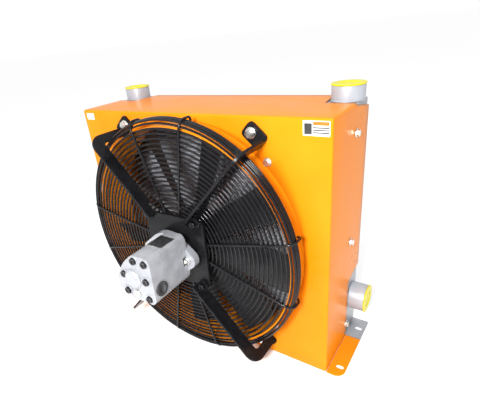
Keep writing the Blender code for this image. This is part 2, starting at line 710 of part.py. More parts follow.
def make_end_cover():
    cover = body_block("end_cover", MOTOR_END, GEAR_HOUSING_END - GAP)
    dome = [(0, MOTOR_END - DOME_HIGH), (DOME_R - 4, MOTOR_END - DOME_HIGH), (DOME_R, MOTOR_END - 2)]
    dome += [(DOME_R, MOTOR_END + 2), (0, MOTOR_END + 2)]
    join(cover, lathe("dome", dome, front_axis(DOME[0], AXIS_Z + DOME[1]), 24))
    cut(cover, screw_holes())
    for x, z in COVER_SCREWS.values():
        seat = rod("seat", 1.62 * M8_R + 1.6, MOTOR_END - OVER, MOTOR_END, front_axis(x, AXIS_Z + z), 16)
        if math.hypot(x - DOME[0], z - DOME[1]) < DOME_R + 10:
            cut(cover, seat)
        else:
            bpy.data.objects.remove(seat, do_unlink=True)
    for side, sign in SIDES.items():
        floor = MOTOR_PORT_FLOOR
        past = FLANK[side] + OVER
        port = [(0, floor), (PLUG_R - 6, floor), (PLUG_R - 2, floor + 2), (PLUG_R - 2, past), (0, past)]
        cut(cover, lathe("port", port, motor_port_axis(sign), 20))
    drain = front_axis(DRAIN[0], AXIS_Z + DRAIN[1])
    cut(cover, rod("drain", DRAIN_R + BOLT_CLEAR, MOTOR_END - OVER, MOTOR_END + DRAIN_LONG, drain, 16))
    finish(cover, "motor_end_cover", "motor_aluminium")


def make_plugs():
    place = front_axis(DRAIN[0], AXIS_Z + DRAIN[1])
    seat = MOTOR_END - GAP
    profile = [(0, seat - 1.2), (3.2, seat - 1.2), (3.2, seat - 3.5), (DRAIN_R + 2.5, seat - 3.5)]
    profile += [(DRAIN_R + 2.5, seat), (DRAIN_R, seat), (DRAIN_R, seat + DRAIN_LONG - 1), (0, seat + DRAIN_LONG - 1)]
    finish(lathe("plug", profile, place, 16), "motor_drain_plug", "zinc_steel")
    for side, sign in SIDES.items():
        face = FLANK[side] + GAP
        end = MOTOR_PORT_FLOOR + 3.5
        profile = [(0, face + 0.8), (6, face + 0.8), (7.5, face + 3), (PLUG_R, face + 3), (PLUG_R, face)]
        profile += [(PLUG_R - 2.5, face), (PLUG_R - 3, end), (0, end)]
        finish(lathe("plug", profile, motor_port_axis(sign), 20), f"motor_port_plug_{side}", "black_plastic")


def make_motor_screws():
    for number, (x, z) in COVER_SCREWS.items():
        place = front_axis(x, AXIS_Z + z)
        socket_screw(f"motor_cover_screw_{number}", place, MOTOR_END, FRONT_COVER_END + 5, M8_R, "black_steel")
    for side, sign in SIDES.items():
        place = front_axis(sign * EAR_X, AXIS_Z)
        socket_screw(f"motor_flange_bolt_{side}", place, FLANGE_FRONT, PLATE_BACK + 1, M10_R, "zinc_steel")


# ---------------------------------------------------------------- gears, bearings and shaft
def gear(phase, place):
    """Teeth with sloping flanks, thin enough to run at the pitch centre distance."""
    pitch_r = MODULE * TEETH / 2
    tip = pitch_r + 0.92 * MODULE
    root = pitch_r - 1.25 * MODULE
    low = pitch_r - 0.4 * MODULE
    high = pitch_r + 0.25 * MODULE
    flank = ((-0.300, root), (-0.215, low), (-0.17, high), (-0.085, tip))
    marks = flank + tuple((-share, r) for share, r in reversed(flank))
    step = 2 * math.pi / TEETH
    outline = []
    for tooth in range(TEETH):
        for share, r in marks:
            turn = phase + step * (tooth + share)
            outline.append((r * math.cos(turn), r * math.sin(turn)))
    return prism("gear", outline, GEAR_BACK, GEAR_FRONT, place)


def make_shafts():
    low = GEAR_HOUSING_END + 1
    drive = gear(-math.pi / 2, FAN)
    profile = [(0, low), (JOURNAL_R, low), (JOURNAL_R, GEAR_BACK + 2), (SHAFT_R, GEAR_BACK + 2), (SHAFT_R, SHAFT_END)]
    profile += [(M8_R + BOLT_CLEAR, SHAFT_END), (M8_R + BOLT_CLEAR, SHAFT_END - 20), (0, SHAFT_END - 20)]
    join(drive, lathe("shaft", profile, FAN, 24))
    finish(drive, "drive_shaft_gear", "gear_steel", FAN(0, 0, 0))
    idler = gear(math.pi / 2 + math.pi / TEETH, IDLER)
    join(idler, rod("journal", JOURNAL_R, low, FRONT_COVER_END - 1, IDLER, 24))
    finish(idler, "idler_gear", "gear_steel", IDLER(0, 0, GEAR_MID))


def bearing_block(name, start, end, drive_r):
    r = CAVITY_R - GAP
    block = rod("block", r, start, end, FAN, 30)
    join(block, rod("block", r, start, end, IDLER, 30))
    cut(block, rod("bore", drive_r + RUN, start - OVER, end + OVER, FAN, 24))
    cut(block, rod("bore", JOURNAL_R + RUN, start - OVER, end + OVER, IDLER, 24))
    finish(block, name, "bearing_bronze")


def make_bearings():
    bearing_block("bearing_block_front", GEAR_FRONT + GAP, FRONT_COVER_END - 2 * GAP, SHAFT_R)
    bearing_block("bearing_block_rear", GEAR_HOUSING_END + GAP, GEAR_BACK - GAP, JOURNAL_R)
    start = FLANGE_BACK - SEAL_LONG - 0.5
    end = FLANGE_BACK - 0.5
    profile = [(SHAFT_R + GAP, start), (SEAL_R, start), (SEAL_R, end), (SHAFT_R + GAP, end)]
    finish(lathe("seal", profile, FAN, 28), "shaft_seal", "seal_rubber")


# ---------------------------------------------------------------- fan
def blade(turn):
    """A cambered, twisted blade: chord sections at rising radii, each laid on its own cylinder."""
    bm = bmesh.new()
    stations = 5
    across = 4
    root_r = HUB_R - 4
    sections = []
    for i in range(stations):
        t = i / (stations - 1)
        r = root_r + (TIP_R - root_r) * t
        chord = CHORD_ROOT + (CHORD_TIP - CHORD_ROOT) * t
        pitch = math.radians(PITCH_ROOT + (PITCH_TIP - PITCH_ROOT) * t)
        thick = BLADE_T_ROOT + (BLADE_T_TIP - BLADE_T_ROOT) * t
        ring = []
        for side in (0.5, -0.5):
            steps = range(across + 1) if side > 0 else range(across, -1, -1)
            for k in steps:
                along = chord * (k / across - 0.5)
                lift = CAMBER * chord * (1 - (2 * along / chord) ** 2) + side * thick
                around = along * math.cos(pitch) - lift * math.sin(pitch)
                depth = along * math.sin(pitch) + lift * math.cos(pitch)
                a = turn + around / r
                ring.append(bm.verts.new(FAN(r * math.cos(a), r * math.sin(a), BLADE_MID + depth)))
        sections.append(ring)
    count = len(sections[0])
    for inner, outer in zip(sections, sections[1:]):
        for k in range(count):
            m = (k + 1) % count
            bm.faces.new((inner[k], inner[m], outer[m], outer[k]))
    for ring in (sections[0], sections[-1]):
        for k in range(across):
            bm.faces.new((ring[k], ring[k + 1], ring[count - 2 - k], ring[count - 1 - k]))
    bmesh.ops.triangulate(bm, faces=bm.faces[:])
    return new_object("blade", bm)


def make_fan():
    inner = BUSH_R + GAP
    web = HUB_FRONT + HUB_WEB
    bore = HUB_R - HUB_WALL
    boss = inner + HUB_WALL
    profile = [(inner, HUB_FRONT), (HUB_R - 8, HUB_FRONT), (HUB_R, HUB_FRONT + 8), (HUB_R, HUB_BACK)]
    profile += [(bore, HUB_BACK), (bore, web), (boss, web), (boss, web + 22), (inner, web + 22)]
    impeller = lathe("hub", profile, FAN, 32)
    phase = math.radians(BLADE_PHASE)
    join(impeller, loose([blade(phase + 2 * math.pi * i / BLADES) for i in range(BLADES)]))
    finish(impeller, "fan_impeller", "fan_plastic", FAN(0, 0, BLADE_MID))
    bore = SHAFT_R + GAP
    near = HUB_FRONT - 4
    far = SHAFT_END - 2
    profile = [(bore, near), (BUSH_R - 2, near), (BUSH_R, near + 2), (BUSH_R, far), (bore, far)]
    finish(lathe("bush", profile, FAN, 24), "fan_hub_bush", "zinc_steel", FAN(0, 0, BLADE_MID))
    seat = SHAFT_END + GAP
    end = seat - 17
    washer = seat + 3
    head = washer + 6
    profile = [(0, end), (M8_R, end), (M8_R, seat), (18, seat), (18, washer)]
    profile += [(7.5, washer), (7.5, head), (0, head)]
    finish(lathe("screw", profile, FAN, 16), "fan_end_screw", "zinc_steel", FAN(0, 0, SHAFT_END))


make_housing()
make_collar()
make_feet()
make_core()
make_tanks()
make_ports()
make_guard()
make_plate()
make_arms()
make_panel_bolts()
make_front_cover()
make_gear_housing()
make_end_cover()
make_plugs()
make_motor_screws()
make_shafts()
make_bearings()
make_fan()
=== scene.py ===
# %% [markdown]
# # A hydraulic oil cooler, finished for the camera
#
# The cooler is a folded orange sheet housing with an aluminium core at its back.  A gear motor,
# held out in front by four bent arms, turns a black fan behind a basket of wire.  The packed
# model gives every place and size.  This lesson adds what such a model leaves out: rolled lips,
# folds, fine wire, fins, cast metal and paint.
#
# Every new shape is a surface worked out with numpy as a whole array of points, then handed to
# Blender once.  Three kinds of surface cover the whole machine: a profile turned round an axis,
# an outline pushed along an axis, and a wire carried along a path.

# %% Load the frame
import json
import math

import bmesh
import bpy
import numpy as np
from mathutils import Matrix, Vector


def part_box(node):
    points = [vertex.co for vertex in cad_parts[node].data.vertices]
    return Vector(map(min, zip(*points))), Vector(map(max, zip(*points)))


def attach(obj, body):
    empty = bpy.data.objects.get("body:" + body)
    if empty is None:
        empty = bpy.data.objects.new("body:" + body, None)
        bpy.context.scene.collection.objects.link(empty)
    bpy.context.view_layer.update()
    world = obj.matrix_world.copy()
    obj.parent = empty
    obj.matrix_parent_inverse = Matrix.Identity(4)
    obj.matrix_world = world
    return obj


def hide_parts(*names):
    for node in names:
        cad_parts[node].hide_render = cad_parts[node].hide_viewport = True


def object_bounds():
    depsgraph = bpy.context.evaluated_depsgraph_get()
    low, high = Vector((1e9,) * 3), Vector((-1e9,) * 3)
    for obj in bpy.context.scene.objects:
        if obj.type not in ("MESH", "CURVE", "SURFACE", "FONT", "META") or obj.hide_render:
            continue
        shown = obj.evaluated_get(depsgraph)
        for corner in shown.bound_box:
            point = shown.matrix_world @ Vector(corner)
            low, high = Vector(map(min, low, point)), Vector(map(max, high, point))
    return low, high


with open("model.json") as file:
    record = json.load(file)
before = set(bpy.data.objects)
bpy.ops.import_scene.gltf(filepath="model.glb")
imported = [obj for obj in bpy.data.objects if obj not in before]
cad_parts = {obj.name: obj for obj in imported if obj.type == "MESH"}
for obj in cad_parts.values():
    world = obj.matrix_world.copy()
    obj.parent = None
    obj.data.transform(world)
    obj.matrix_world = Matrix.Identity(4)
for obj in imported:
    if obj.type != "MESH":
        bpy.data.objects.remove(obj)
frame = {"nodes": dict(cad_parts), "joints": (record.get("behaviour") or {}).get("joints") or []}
cad_low, cad_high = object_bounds()
print("CAD box", [round(v, 4) for v in cad_low], [round(v, 4) for v in cad_high])

# %% [markdown]
# ## Measures taken from the frame
#
# The fan axis comes from the joint that the fan turns on, and the rest from the boxes of the
# pieces.  A value that isn't in the frame, such as a wire's thickness, gets a name of its own
# where it is first needed.  Everything is in metres.

# %% Measures
MM = 0.001
spin = next(j for j in frame["joints"] if j["name"] == "fan_spin")
AXIS_X, _, AXIS_Z = spin["pos_m"]
shell_low, shell_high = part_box("fan_housing")
FRONT = shell_low.y
BACK = shell_high.y
HALF_WIDE = shell_high.x
HALF_HIGH = (shell_high.z - shell_low.z) / 2
MIDDLE_Z = (shell_high.z + shell_low.z) / 2
SHEET = 2.5 * MM
print("fan axis", AXIS_X, AXIS_Z, "front face", round(FRONT, 4))

# %% [markdown]
# ## Helpers for shapes
#
# `weave` turns a grid of points into quads.  A grid may close on itself in either direction, as
# a ring of wire does in both.  `piece` puts points and faces into a mesh, closes seams and
# poles by merging what coincides, points the faces outwards, and ties the piece to its body.

# %% Grids and pieces
def weave(rows, columns, wrap_rows=False, wrap_columns=False, first=0):
    """Quads between neighbouring points of a grid that is stored row by row."""
    r = np.arange(rows if wrap_rows else rows - 1)
    c = np.arange(columns if wrap_columns else columns - 1)
    r, c = np.meshgrid(r, c, indexing="ij")
    r, c = r.ravel(), c.ravel()
    r2, c2 = (r + 1) % rows, (c + 1) % columns
    return first + np.stack([r * columns + c, r * columns + c2, r2 * columns + c2, r2 * columns + c], axis=1)


def piece(name, points, faces, finish, body="cooler", stands_for=(), smooth=35, closed=True):
    """A mesh piece from an array of points and a list of faces."""
    mesh = bpy.data.meshes.new(name)
    vertices = np.asarray(points, float).reshape(-1, 3).tolist()
    mesh.from_pydata(vertices, [], [list(map(int, f)) for f in faces])
    bm = bmesh.new()
    bm.from_mesh(mesh)
    bmesh.ops.remove_doubles(bm, verts=bm.verts[:], dist=1e-6)
    if closed:
        bmesh.ops.recalc_face_normals(bm, faces=bm.faces[:])
    bm.to_mesh(mesh)
    bm.free()
    mesh.shade_smooth()
    mesh.set_sharp_from_angle(angle=math.radians(smooth))
    made = bpy.data.objects.new(name, mesh)
    bpy.context.scene.collection.objects.link(made)
    mesh.materials.append(finish)
    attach(made, body)
    if stands_for:
        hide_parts(*stands_for)
    return made


# %% [markdown]
# `gather` joins many small surfaces into one piece, because a basket of wire or a set of fins
# is one thing on the bench.  It renumbers each part's faces by the points that came before it.

# %% Join surfaces
def gather(parts):
    """One list of points and one of faces, from several (points, faces) pairs."""
    points = []
    faces = []
    count = 0
    for part_points, part_faces in parts:
        part_points = np.asarray(part_points, float).reshape(-1, 3)
        points.append(part_points)
        faces += [[int(i) + count for i in face] for face in part_faces]
        count += len(part_points)
    return np.concatenate(points), faces


# %% [markdown]
# Real edges are never knife sharp.  `soften` replaces each corner of an outline by a short
# curve, so a turned or pushed shape catches a thin line of light along its rims.

# %% Soft corners
def soften(corners, reach, steps=4):
    """Corner curves: a quadratic blend from one side to the next, starting `reach` away."""
    corners = np.asarray(corners, float)
    t = np.linspace(0, 1, steps + 1)[:, None]
    out = []
    for i, corner in enumerate(corners):
        a = corners[i - 1] - corner
        b = corners[(i + 1) % len(corners)] - corner
        length_a, length_b = np.linalg.norm(a), np.linalg.norm(b)
        r = min(reach, 0.45 * length_a, 0.45 * length_b)
        first = corner + a / length_a * r
        last = corner + b / length_b * r
        out.append(first * (1 - t) ** 2 + corner * 2 * t * (1 - t) + last * t**2)
    return np.concatenate(out)


def soften_open(points, reach, steps=4):
    """The same for a line with two ends, which stay where they are."""
    points = np.asarray(points, float)
    t = np.linspace(0, 1, steps + 1)[:, None]
    out = [points[:1]]
    for before, corner, after in zip(points, points[1:], points[2:]):
        a, b = before - corner, after - corner
        length_a, length_b = np.linalg.norm(a), np.linalg.norm(b)
        r = min(reach, 0.45 * length_a, 0.45 * length_b)
        first = corner + a / length_a * r
        last = corner + b / length_b * r
        out.append(first * (1 - t) ** 2 + corner * 2 * t * (1 - t) + last * t**2)
    out.append(points[-1:])
    return np.concatenate(out)


# %% [markdown]
# ## Where axes point
#
# A turned piece needs a centre, a direction along its axis, and two directions across it.  The
# fan and motor lie along the depth, the top ports stand up, and the side port lies along X.

# %% Axes
ALONG = {
    "depth": np.array([[1, 0, 0], [0, 0, 1], [0, 1, 0]], float),
    "up": np.array([[1, 0, 0], [0, 1, 0], [0, 0, 1]], float),
    "right": np.array([[0, 1, 0], [0, 0, 1], [1, 0, 0]], float),
    "left": np.array([[0, 1, 0], [0, 0, 1], [-1, 0, 0]], float),
}


def turned(profile, centre, along="depth", sides=96):
    """(points, faces) of a closed (radius, distance) profile turned round an axis.

    A point is centre + radius * (cos a * u + sin a * v) + distance * w.
    """
    u, v, w = ALONG[along]
    profile = np.asarray(profile, float)
    a = np.linspace(0, 2 * np.pi, sides, endpoint=False)[:, None]
    r, d = profile[:, 0][None], profile[:, 1][None]
    x, y, z = r * np.cos(a), r * np.sin(a), np.repeat(d, sides, axis=0)
    points = np.asarray(centre, float) + x[..., None] * u + y[..., None] * v + z[..., None] * w
    return points, weave(sides, len(profile), True, True)


def pushed(outline, start, end, centre, along="depth", edge=0.6 * MM):
    """(points, faces) of a closed outline pushed along an axis, with rounded rims.

    Each layer is the outline moved inwards by a quarter circle's share of the edge radius.
    """
    u, v, w = ALONG[along]
    outline = np.asarray(outline, float)
    tangent = np.roll(outline, -1, axis=0) - np.roll(outline, 1, axis=0)
    tangent /= np.maximum(np.linalg.norm(tangent, axis=1, keepdims=True), 1e-12)
    normal = np.stack([tangent[:, 1], -tangent[:, 0]], axis=1)
    x, y = outline[:, 0], outline[:, 1]
    area = np.sum(x * np.roll(y, -1) - np.roll(x, -1) * y) / 2
    normal *= np.sign(area)
    turn = np.linspace(0, np.pi / 2, 4)
    inset = np.concatenate([edge * (1 - np.sin(turn)), edge * (1 - np.cos(turn))])
    place = np.concatenate([start + edge * (1 - np.cos(turn)), end - edge * (1 - np.sin(turn))])
    flat = outline[None] - inset[:, None, None] * normal[None]
    points = (
        np.asarray(centre, float)
        + flat[..., 0:1] * u
        + flat[..., 1:2] * v
        + np.broadcast_to(place[:, None, None], flat[..., 0:1].shape) * w
    )
    count = len(outline)
    faces = weave(len(place), count, False, True).tolist()
    faces.append(list(range(count)))
    faces.append(list(range((len(place) - 1) * count, len(place) * count)))
    return points, faces


def wire(path, across, radius, sides=8, closed=False):
    """(points, faces) of a round wire along a flat path; `across` is the path plane's normal.

    Each ring of points is the path point + radius * (cos a * side + sin a * across), where side
    is at right angles to both the path and its plane's normal.
    """
    path = np.asarray(path, float)
    if closed:
        forward = np.roll(path, -1, axis=0) - np.roll(path, 1, axis=0)
    else:
        forward = np.gradient(path, axis=0)
    forward /= np.linalg.norm(forward, axis=1, keepdims=True)
    across = np.broadcast_to(np.asarray(across, float), path.shape)
    side = np.cross(forward, across)
    a = np.linspace(0, 2 * np.pi, sides, endpoint=False)
    ring = np.cos(a)[None, :, None] * side[:, None] + np.sin(a)[None, :, None] * across[:, None]
    points = path[:, None] + radius * ring
    faces = weave(len(path), sides, closed, True).tolist()
    if not closed:
        faces.append(list(range(sides)))
        faces.append(list(range((len(path) - 1) * sides, len(path) * sides)))
    return points, faces


print("axes", ", ".join(ALONG))

# %% [markdown]
# Pieces whose shape is already right in the frame are kept as they are, but with the thin
# rounded edges that stamped, cut and machined metal has.  `eased` copies the frame's mesh,
# merges its loose triangles into whole faces, and lets a Bevel modifier ease the edges.

# %% Ease the edges of a frame piece
def eased(node, finish, edge=0.5 * MM, body="cooler", angle=30):
    """A copy of a frame piece with eased edges, which stands for it."""
    bm = bmesh.new()
    bm.from_mesh(frame["nodes"][node].data)
    bmesh.ops.remove_doubles(bm, verts=bm.verts[:], dist=2e-6)
    bmesh.ops.dissolve_limit(bm, angle_limit=math.radians(1), verts=bm.verts[:], edges=bm.edges[:])
    mesh = bpy.data.meshes.new(node + "_eased")
    bm.to_mesh(mesh)
    bm.free()
    mesh.shade_smooth()
    mesh.set_sharp_from_angle(angle=math.radians(angle))
    mesh.materials.clear()
    mesh.materials.append(finish)
    made = bpy.data.objects.new(node + "_eased", mesh)
    bpy.context.scene.collection.objects.link(made)
    ease = made.modifiers.new("eased edges", "BEVEL")
    ease.width = edge
    ease.segments = 2
    ease.limit_method = "ANGLE"
    ease.angle_limit = math.radians(angle)
    ease.harden_normals = False
    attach(made, body)
    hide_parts(node)
    return made


# %% [markdown]
# ## Finishes
#
# A finish starts as one Principled shader.  Values that are the same all over go straight onto
# its sockets.  What varies, such as the faint mottle of powder coat or the grain of a casting,
# is drawn by noise on the piece's own coordinates, in metres, so its scale is a real size.

# %% Start a finish
def bare_finish(name, colour, metallic=0.0, roughness=0.4, **sockets):
    """(material, nodes, links, shader) with the uniform values set."""
    made = bpy.data.materials.new(name)
    made.use_nodes = True
    tree = made.node_tree
    shader = tree.nodes["Principled BSDF"]
    shader.inputs["Base Color"].default_value = (*colour, 1)
    shader.inputs["Metallic"].default_value = metallic
    shader.inputs["Roughness"].default_value = roughness
    for socket, value in sockets.items():
        shader.inputs[socket.replace("_", " ")].default_value = value
    return made, tree.nodes, tree.links, shader


def own_coordinates(nodes, links, stretch=(1, 1, 1)):
    """Object coordinates, stretched where a grain runs one way."""
    where = nodes.new("ShaderNodeTexCoord")
    mapping = nodes.new("ShaderNodeMapping")
    mapping.inputs["Scale"].default_value = stretch
    links.new(where.outputs["Object"], mapping.inputs["Vector"])
    return mapping.outputs["Vector"]


def speckle(nodes, links, vector, scale, detail=4.0, roughness=0.55):
    """Noise of that many spots to the metre, from 0 to 1."""
    noise = nodes.new("ShaderNodeTexNoise")
    noise.inputs["Scale"].default_value = scale
    noise.inputs["Detail"].default_value = detail
    noise.inputs["Roughness"].default_value = roughness
    links.new(vector, noise.inputs["Vector"])
    return noise.outputs["Fac"]


def between(nodes, links, value, low, high, start=0.3, stop=0.7):
    """The value spread from low to high between two levels."""
    spread = nodes.new("ShaderNodeMapRange")
    spread.inputs["From Min"].default_value = start
    spread.inputs["From Max"].default_value = stop
    spread.inputs["To Min"].default_value = low
    spread.inputs["To Max"].default_value = high
    links.new(value, spread.inputs["Value"])
    return spread.outputs["Result"]


def tint(nodes, links, value, first, second, start=0.3, stop=0.7):
    """A colour that runs from the first to the second as the value rises."""
    ramp = nodes.new("ShaderNodeValToRGB")
    ramp.color_ramp.elements[0].position = start
    ramp.color_ramp.elements[0].color = (*first, 1)
    ramp.color_ramp.elements[1].position = stop
    ramp.color_ramp.elements[1].color = (*second, 1)
    links.new(value, ramp.inputs["Fac"])
    return ramp.outputs["Color"]


def relief(nodes, links, value, shader, height, strength=1.0):
    """Bumps of that height in metres where the value is 1."""
    bump = nodes.new("ShaderNodeBump")
    bump.inputs["Strength"].default_value = strength
    bump.inputs["Distance"].default_value = height
    links.new(value, bump.inputs["Height"])
    links.new(bump.outputs["Normal"], shader.inputs["Normal"])


# %% [markdown]
# Powder coat is a thick, glossy plastic skin.  It flows into a faint orange peel a few
# millimetres across, and its colour is very even.  A second, larger mottle stops big flat
# panels from looking like a fill.

# %% Orange powder coat
def orange_powder_coat():
    made, nodes, links, shader = bare_finish(
        "orange_powder_coat", (0.66, 0.195, 0.005), roughness=0.3, Specular_IOR_Level=0.08
    )
    where = own_coordinates(nodes, links)
    mottle = speckle(nodes, links, where, 9, 3)
    peel = speckle(nodes, links, where, 420, 2)
    colour = tint(nodes, links, mottle, (0.63, 0.18, 0.003), (0.69, 0.205, 0.006))
    links.new(colour, shader.inputs["Base Color"])
    links.new(between(nodes, links, mottle, 0.26, 0.36), shader.inputs["Roughness"])
    relief(nodes, links, peel, shader, 0.05 * MM, 0.35)
    return made


# %% [markdown]
# The wire and the bracket share a black coat.  On wire it is glossy and pools slightly, and on
# the flat bars it shows a fine texture that breaks the reflection up.

# %% Black coats
def black_wire_coat():
    made, nodes, links, shader = bare_finish(
        "black_wire_coat", (0.006, 0.006, 0.007), roughness=0.14, Specular_IOR_Level=0.2
    )
    where = own_coordinates(nodes, links)
    pool = speckle(nodes, links, where, 30, 2)
    colour = tint(nodes, links, pool, (0.004, 0.004, 0.005), (0.009, 0.009, 0.010))
    links.new(colour, shader.inputs["Base Color"])
    links.new(between(nodes, links, pool, 0.1, 0.18), shader.inputs["Roughness"])
    relief(nodes, links, speckle(nodes, links, where, 180, 2), shader, 0.04 * MM, 0.25)
    return made


def black_bar_coat():
    made, nodes, links, shader = bare_finish(
        "black_bar_coat", (0.009, 0.009, 0.010), roughness=0.24, Specular_IOR_Level=0.1
    )
    where = own_coordinates(nodes, links)
    rub = speckle(nodes, links, where, 45, 5, 0.65)
    colour = tint(nodes, links, rub, (0.004, 0.004, 0.005), (0.010, 0.010, 0.011))
    links.new(colour, shader.inputs["Base Color"])
    links.new(between(nodes, links, rub, 0.16, 0.32), shader.inputs["Roughness"])
    relief(nodes, links, speckle(nodes, links, where, 420, 3), shader, 0.05 * MM, 0.35)
    return made


# %% [markdown]
# The fan is moulded in black glass-filled plastic.  Its sheen is softer than paint, and flow
# marks run along the blades; plain, unstretched noise gives a soft variation in their place.

# %% Fan plastic
def fan_plastic():
    made, nodes, links, shader = bare_finish(
        "fan_moulding", (0.012, 0.012, 0.013), roughness=0.38, Specular_IOR_Level=0.2
    )
    where = own_coordinates(nodes, links)
    flow = speckle(nodes, links, where, 30, 4)
    colour = tint(nodes, links, flow, (0.008, 0.008, 0.009), (0.018, 0.018, 0.020))
    links.new(colour, shader.inputs["Base Color"])
    links.new(between(nodes, links, flow, 0.3, 0.46), shader.inputs["Roughness"])
    relief(nodes, links, speckle(nodes, links, where, 900, 2), shader, 0.05 * MM, 0.4)
    return made


# %% [markdown]
# The aluminiums look quite different.  The core is brazed in a furnace, which leaves a dull
# grey with cloudy patches.  The motor is cast, then blasted with shot, so it is bright and
# its skin has a fine, even grain with a few larger dimples.
# The port bosses have their own, paler version of the brazed finish.  The fins have a much paler copy,
# which is painted light: it stands in for the light that falls in between the fins.

# %% Aluminiums
def brazed_aluminium(name, dark, light, metallic):
    made, nodes, links, shader = bare_finish(name, light, metallic=metallic, roughness=0.42)
    where = own_coordinates(nodes, links)
    cloud = speckle(nodes, links, where, 22, 6, 0.6)
    links.new(tint(nodes, links, cloud, dark, light), shader.inputs["Base Color"])
    links.new(between(nodes, links, cloud, 0.34, 0.52), shader.inputs["Roughness"])
    relief(nodes, links, speckle(nodes, links, where, 480, 3), shader, 0.05 * MM, 0.5)
    return made


def cast_aluminium():
    made, nodes, links, shader = bare_finish(
        "shot_blasted_casting", (0.32, 0.328, 0.35), metallic=0.35, roughness=0.42
    )
    where = own_coordinates(nodes, links)
    cloud = speckle(nodes, links, where, 38, 5, 0.6)
    colour = tint(nodes, links, cloud, (0.27, 0.275, 0.295), (0.37, 0.38, 0.405))
    links.new(colour, shader.inputs["Base Color"])
    links.new(between(nodes, links, cloud, 0.36, 0.5), shader.inputs["Roughness"])
    relief(nodes, links, speckle(nodes, links, where, 800, 4, 0.7), shader, 0.12 * MM, 0.7)
    return made


# %% [markdown]
# The caps are soft polyethylene, which light enters a little way.  Subsurface gives their
# yellow its glow.  The motor's port plugs are the same kind of part in black.

# %% Plastics
def yellow_polyethylene():
    made, nodes, links, shader = bare_finish(
        "yellow_polyethylene", (0.54, 0.48, 0.006), roughness=0.36, Specular_IOR_Level=0.25,
        Subsurface_Weight=0.15, Subsurface_Scale=2 * MM
    )
    where = own_coordinates(nodes, links)
    milk = speckle(nodes, links, where, 40, 3)
    links.new(tint(nodes, links, milk, (0.50, 0.45, 0.004), (0.58, 0.52, 0.01)), shader.inputs["Base Color"])
    links.new(between(nodes, links, milk, 0.3, 0.42), shader.inputs["Roughness"])
    relief(nodes, links, speckle(nodes, links, where, 300, 2), shader, 0.04 * MM, 0.3)
    return made


def black_polyethylene():
    made, nodes, links, shader = bare_finish("black_polyethylene", (0.02, 0.021, 0.023), roughness=0.42)
    where = own_coordinates(nodes, links)
    milk = speckle(nodes, links, where, 90, 3)
    colour = tint(nodes, links, milk, (0.013, 0.013, 0.015), (0.035, 0.036, 0.04))
    links.new(colour, shader.inputs["Base Color"])
    links.new(between(nodes, links, milk, 0.34, 0.5), shader.inputs["Roughness"])
    relief(nodes, links, speckle(nodes, links, where, 600, 2), shader, 0.04 * MM, 0.4)
    return made


# %% [markdown]
# Fasteners are zinc plated, with a slight yellow and blue cast that changes over a centimetre
# or so.  The motor's screws are black from an oxide bath.  Gears are ground, so their grain
# runs round them, and bearings are bronze.

# %% Steels, bronze and rubber
def plated(name, first, second, low, high, spots=140):
    """A plated or blackened metal whose tint and gloss drift a little over its surface."""
    made, nodes, links, shader = bare_finish(name, first, metallic=1.0, roughness=(low + high) / 2)
    where = own_coordinates(nodes, links)
    drift = speckle(nodes, links, where, spots, 4, 0.6)
    links.new(tint(nodes, links, drift, first, second), shader.inputs["Base Color"])
    links.new(between(nodes, links, drift, low, high), shader.inputs["Roughness"])
    relief(nodes, links, speckle(nodes, links, where, 1500, 2), shader, 0.02 * MM, 0.4)
    return made


def nitrile_rubber():
    made, nodes, links, shader = bare_finish("nitrile_rubber", (0.03, 0.03, 0.03), roughness=0.65)
    where = own_coordinates(nodes, links)
    dust = speckle(nodes, links, where, 200, 4)
    links.new(tint(nodes, links, dust, (0.02, 0.02, 0.02), (0.05, 0.05, 0.05)), shader.inputs["Base Color"])
    links.new(between(nodes, links, dust, 0.55, 0.75), shader.inputs["Roughness"])
    return made


def label_film(name, colour, worn):
    """Printed film: glossy, with a little fading in soft patches."""
    made, nodes, links, shader = bare_finish(name, colour, roughness=0.3)
    fade = speckle(nodes, links, own_coordinates(nodes, links), 60, 3)
    links.new(tint(nodes, links, fade, worn, colour), shader.inputs["Base Color"])
    links.new(between(nodes, links, fade, 0.24, 0.38), shader.inputs["Roughness"])
    return made


ORANGE = orange_powder_coat()
WIRE_BLACK = black_wire_coat()
BAR_BLACK = black_bar_coat()
FAN_BLACK = fan_plastic()
BRAZED = brazed_aluminium("brazed_aluminium", (0.26, 0.27, 0.29), (0.38, 0.39, 0.41), 0.45)
# The fins' pale colour is painted light, for the light that reaches in between them.
FIN_METAL_PAINTED_LIGHT = brazed_aluminium("fin_aluminium_painted_light", (0.66, 0.68, 0.74), (0.8, 0.82, 0.88), 0.15)
BOSS_METAL = brazed_aluminium("silver_coat", (0.31, 0.325, 0.36), (0.39, 0.405, 0.44), 0.3)
CASTING = cast_aluminium()
YELLOW = yellow_polyethylene()
PLUG_BLACK = black_polyethylene()
ZINC = plated("bright_zinc", (0.62, 0.62, 0.60), (0.80, 0.79, 0.74), 0.22, 0.36)
BLACK_OXIDE = plated("black_oxide", (0.035, 0.035, 0.04), (0.075, 0.073, 0.075), 0.3, 0.45)
GROUND = plated("ground_steel", (0.5, 0.5, 0.52), (0.64, 0.64, 0.66), 0.18, 0.32, 260)
BRONZE = plated("bearing_bronze", (0.55, 0.38, 0.2), (0.68, 0.5, 0.28), 0.28, 0.42)
RUBBER = nitrile_rubber()
LABEL_WHITE = label_film("label_white", (0.62, 0.62, 0.61), (0.54, 0.54, 0.53))
LABEL_ORANGE = label_film("label_orange", (0.7, 0.14, 0.006), (0.6, 0.12, 0.006))
LABEL_BLACK = label_film("label_black", (0.012, 0.012, 0.013), (0.03, 0.03, 0.032))
print(len(bpy.data.materials), "finishes")

# %% [markdown]
# ## Housing
#
# The housing is one blank of sheet: a front panel with a round opening, folded back along all
# four sides.  So it is one surface with two directions.  One goes round the rectangle, and the
# other goes from the rim of the opening out over the front, round the fold, and back along the
# side.  How far back it goes depends on where you are: short along the floor, and cut away
# round the ports.

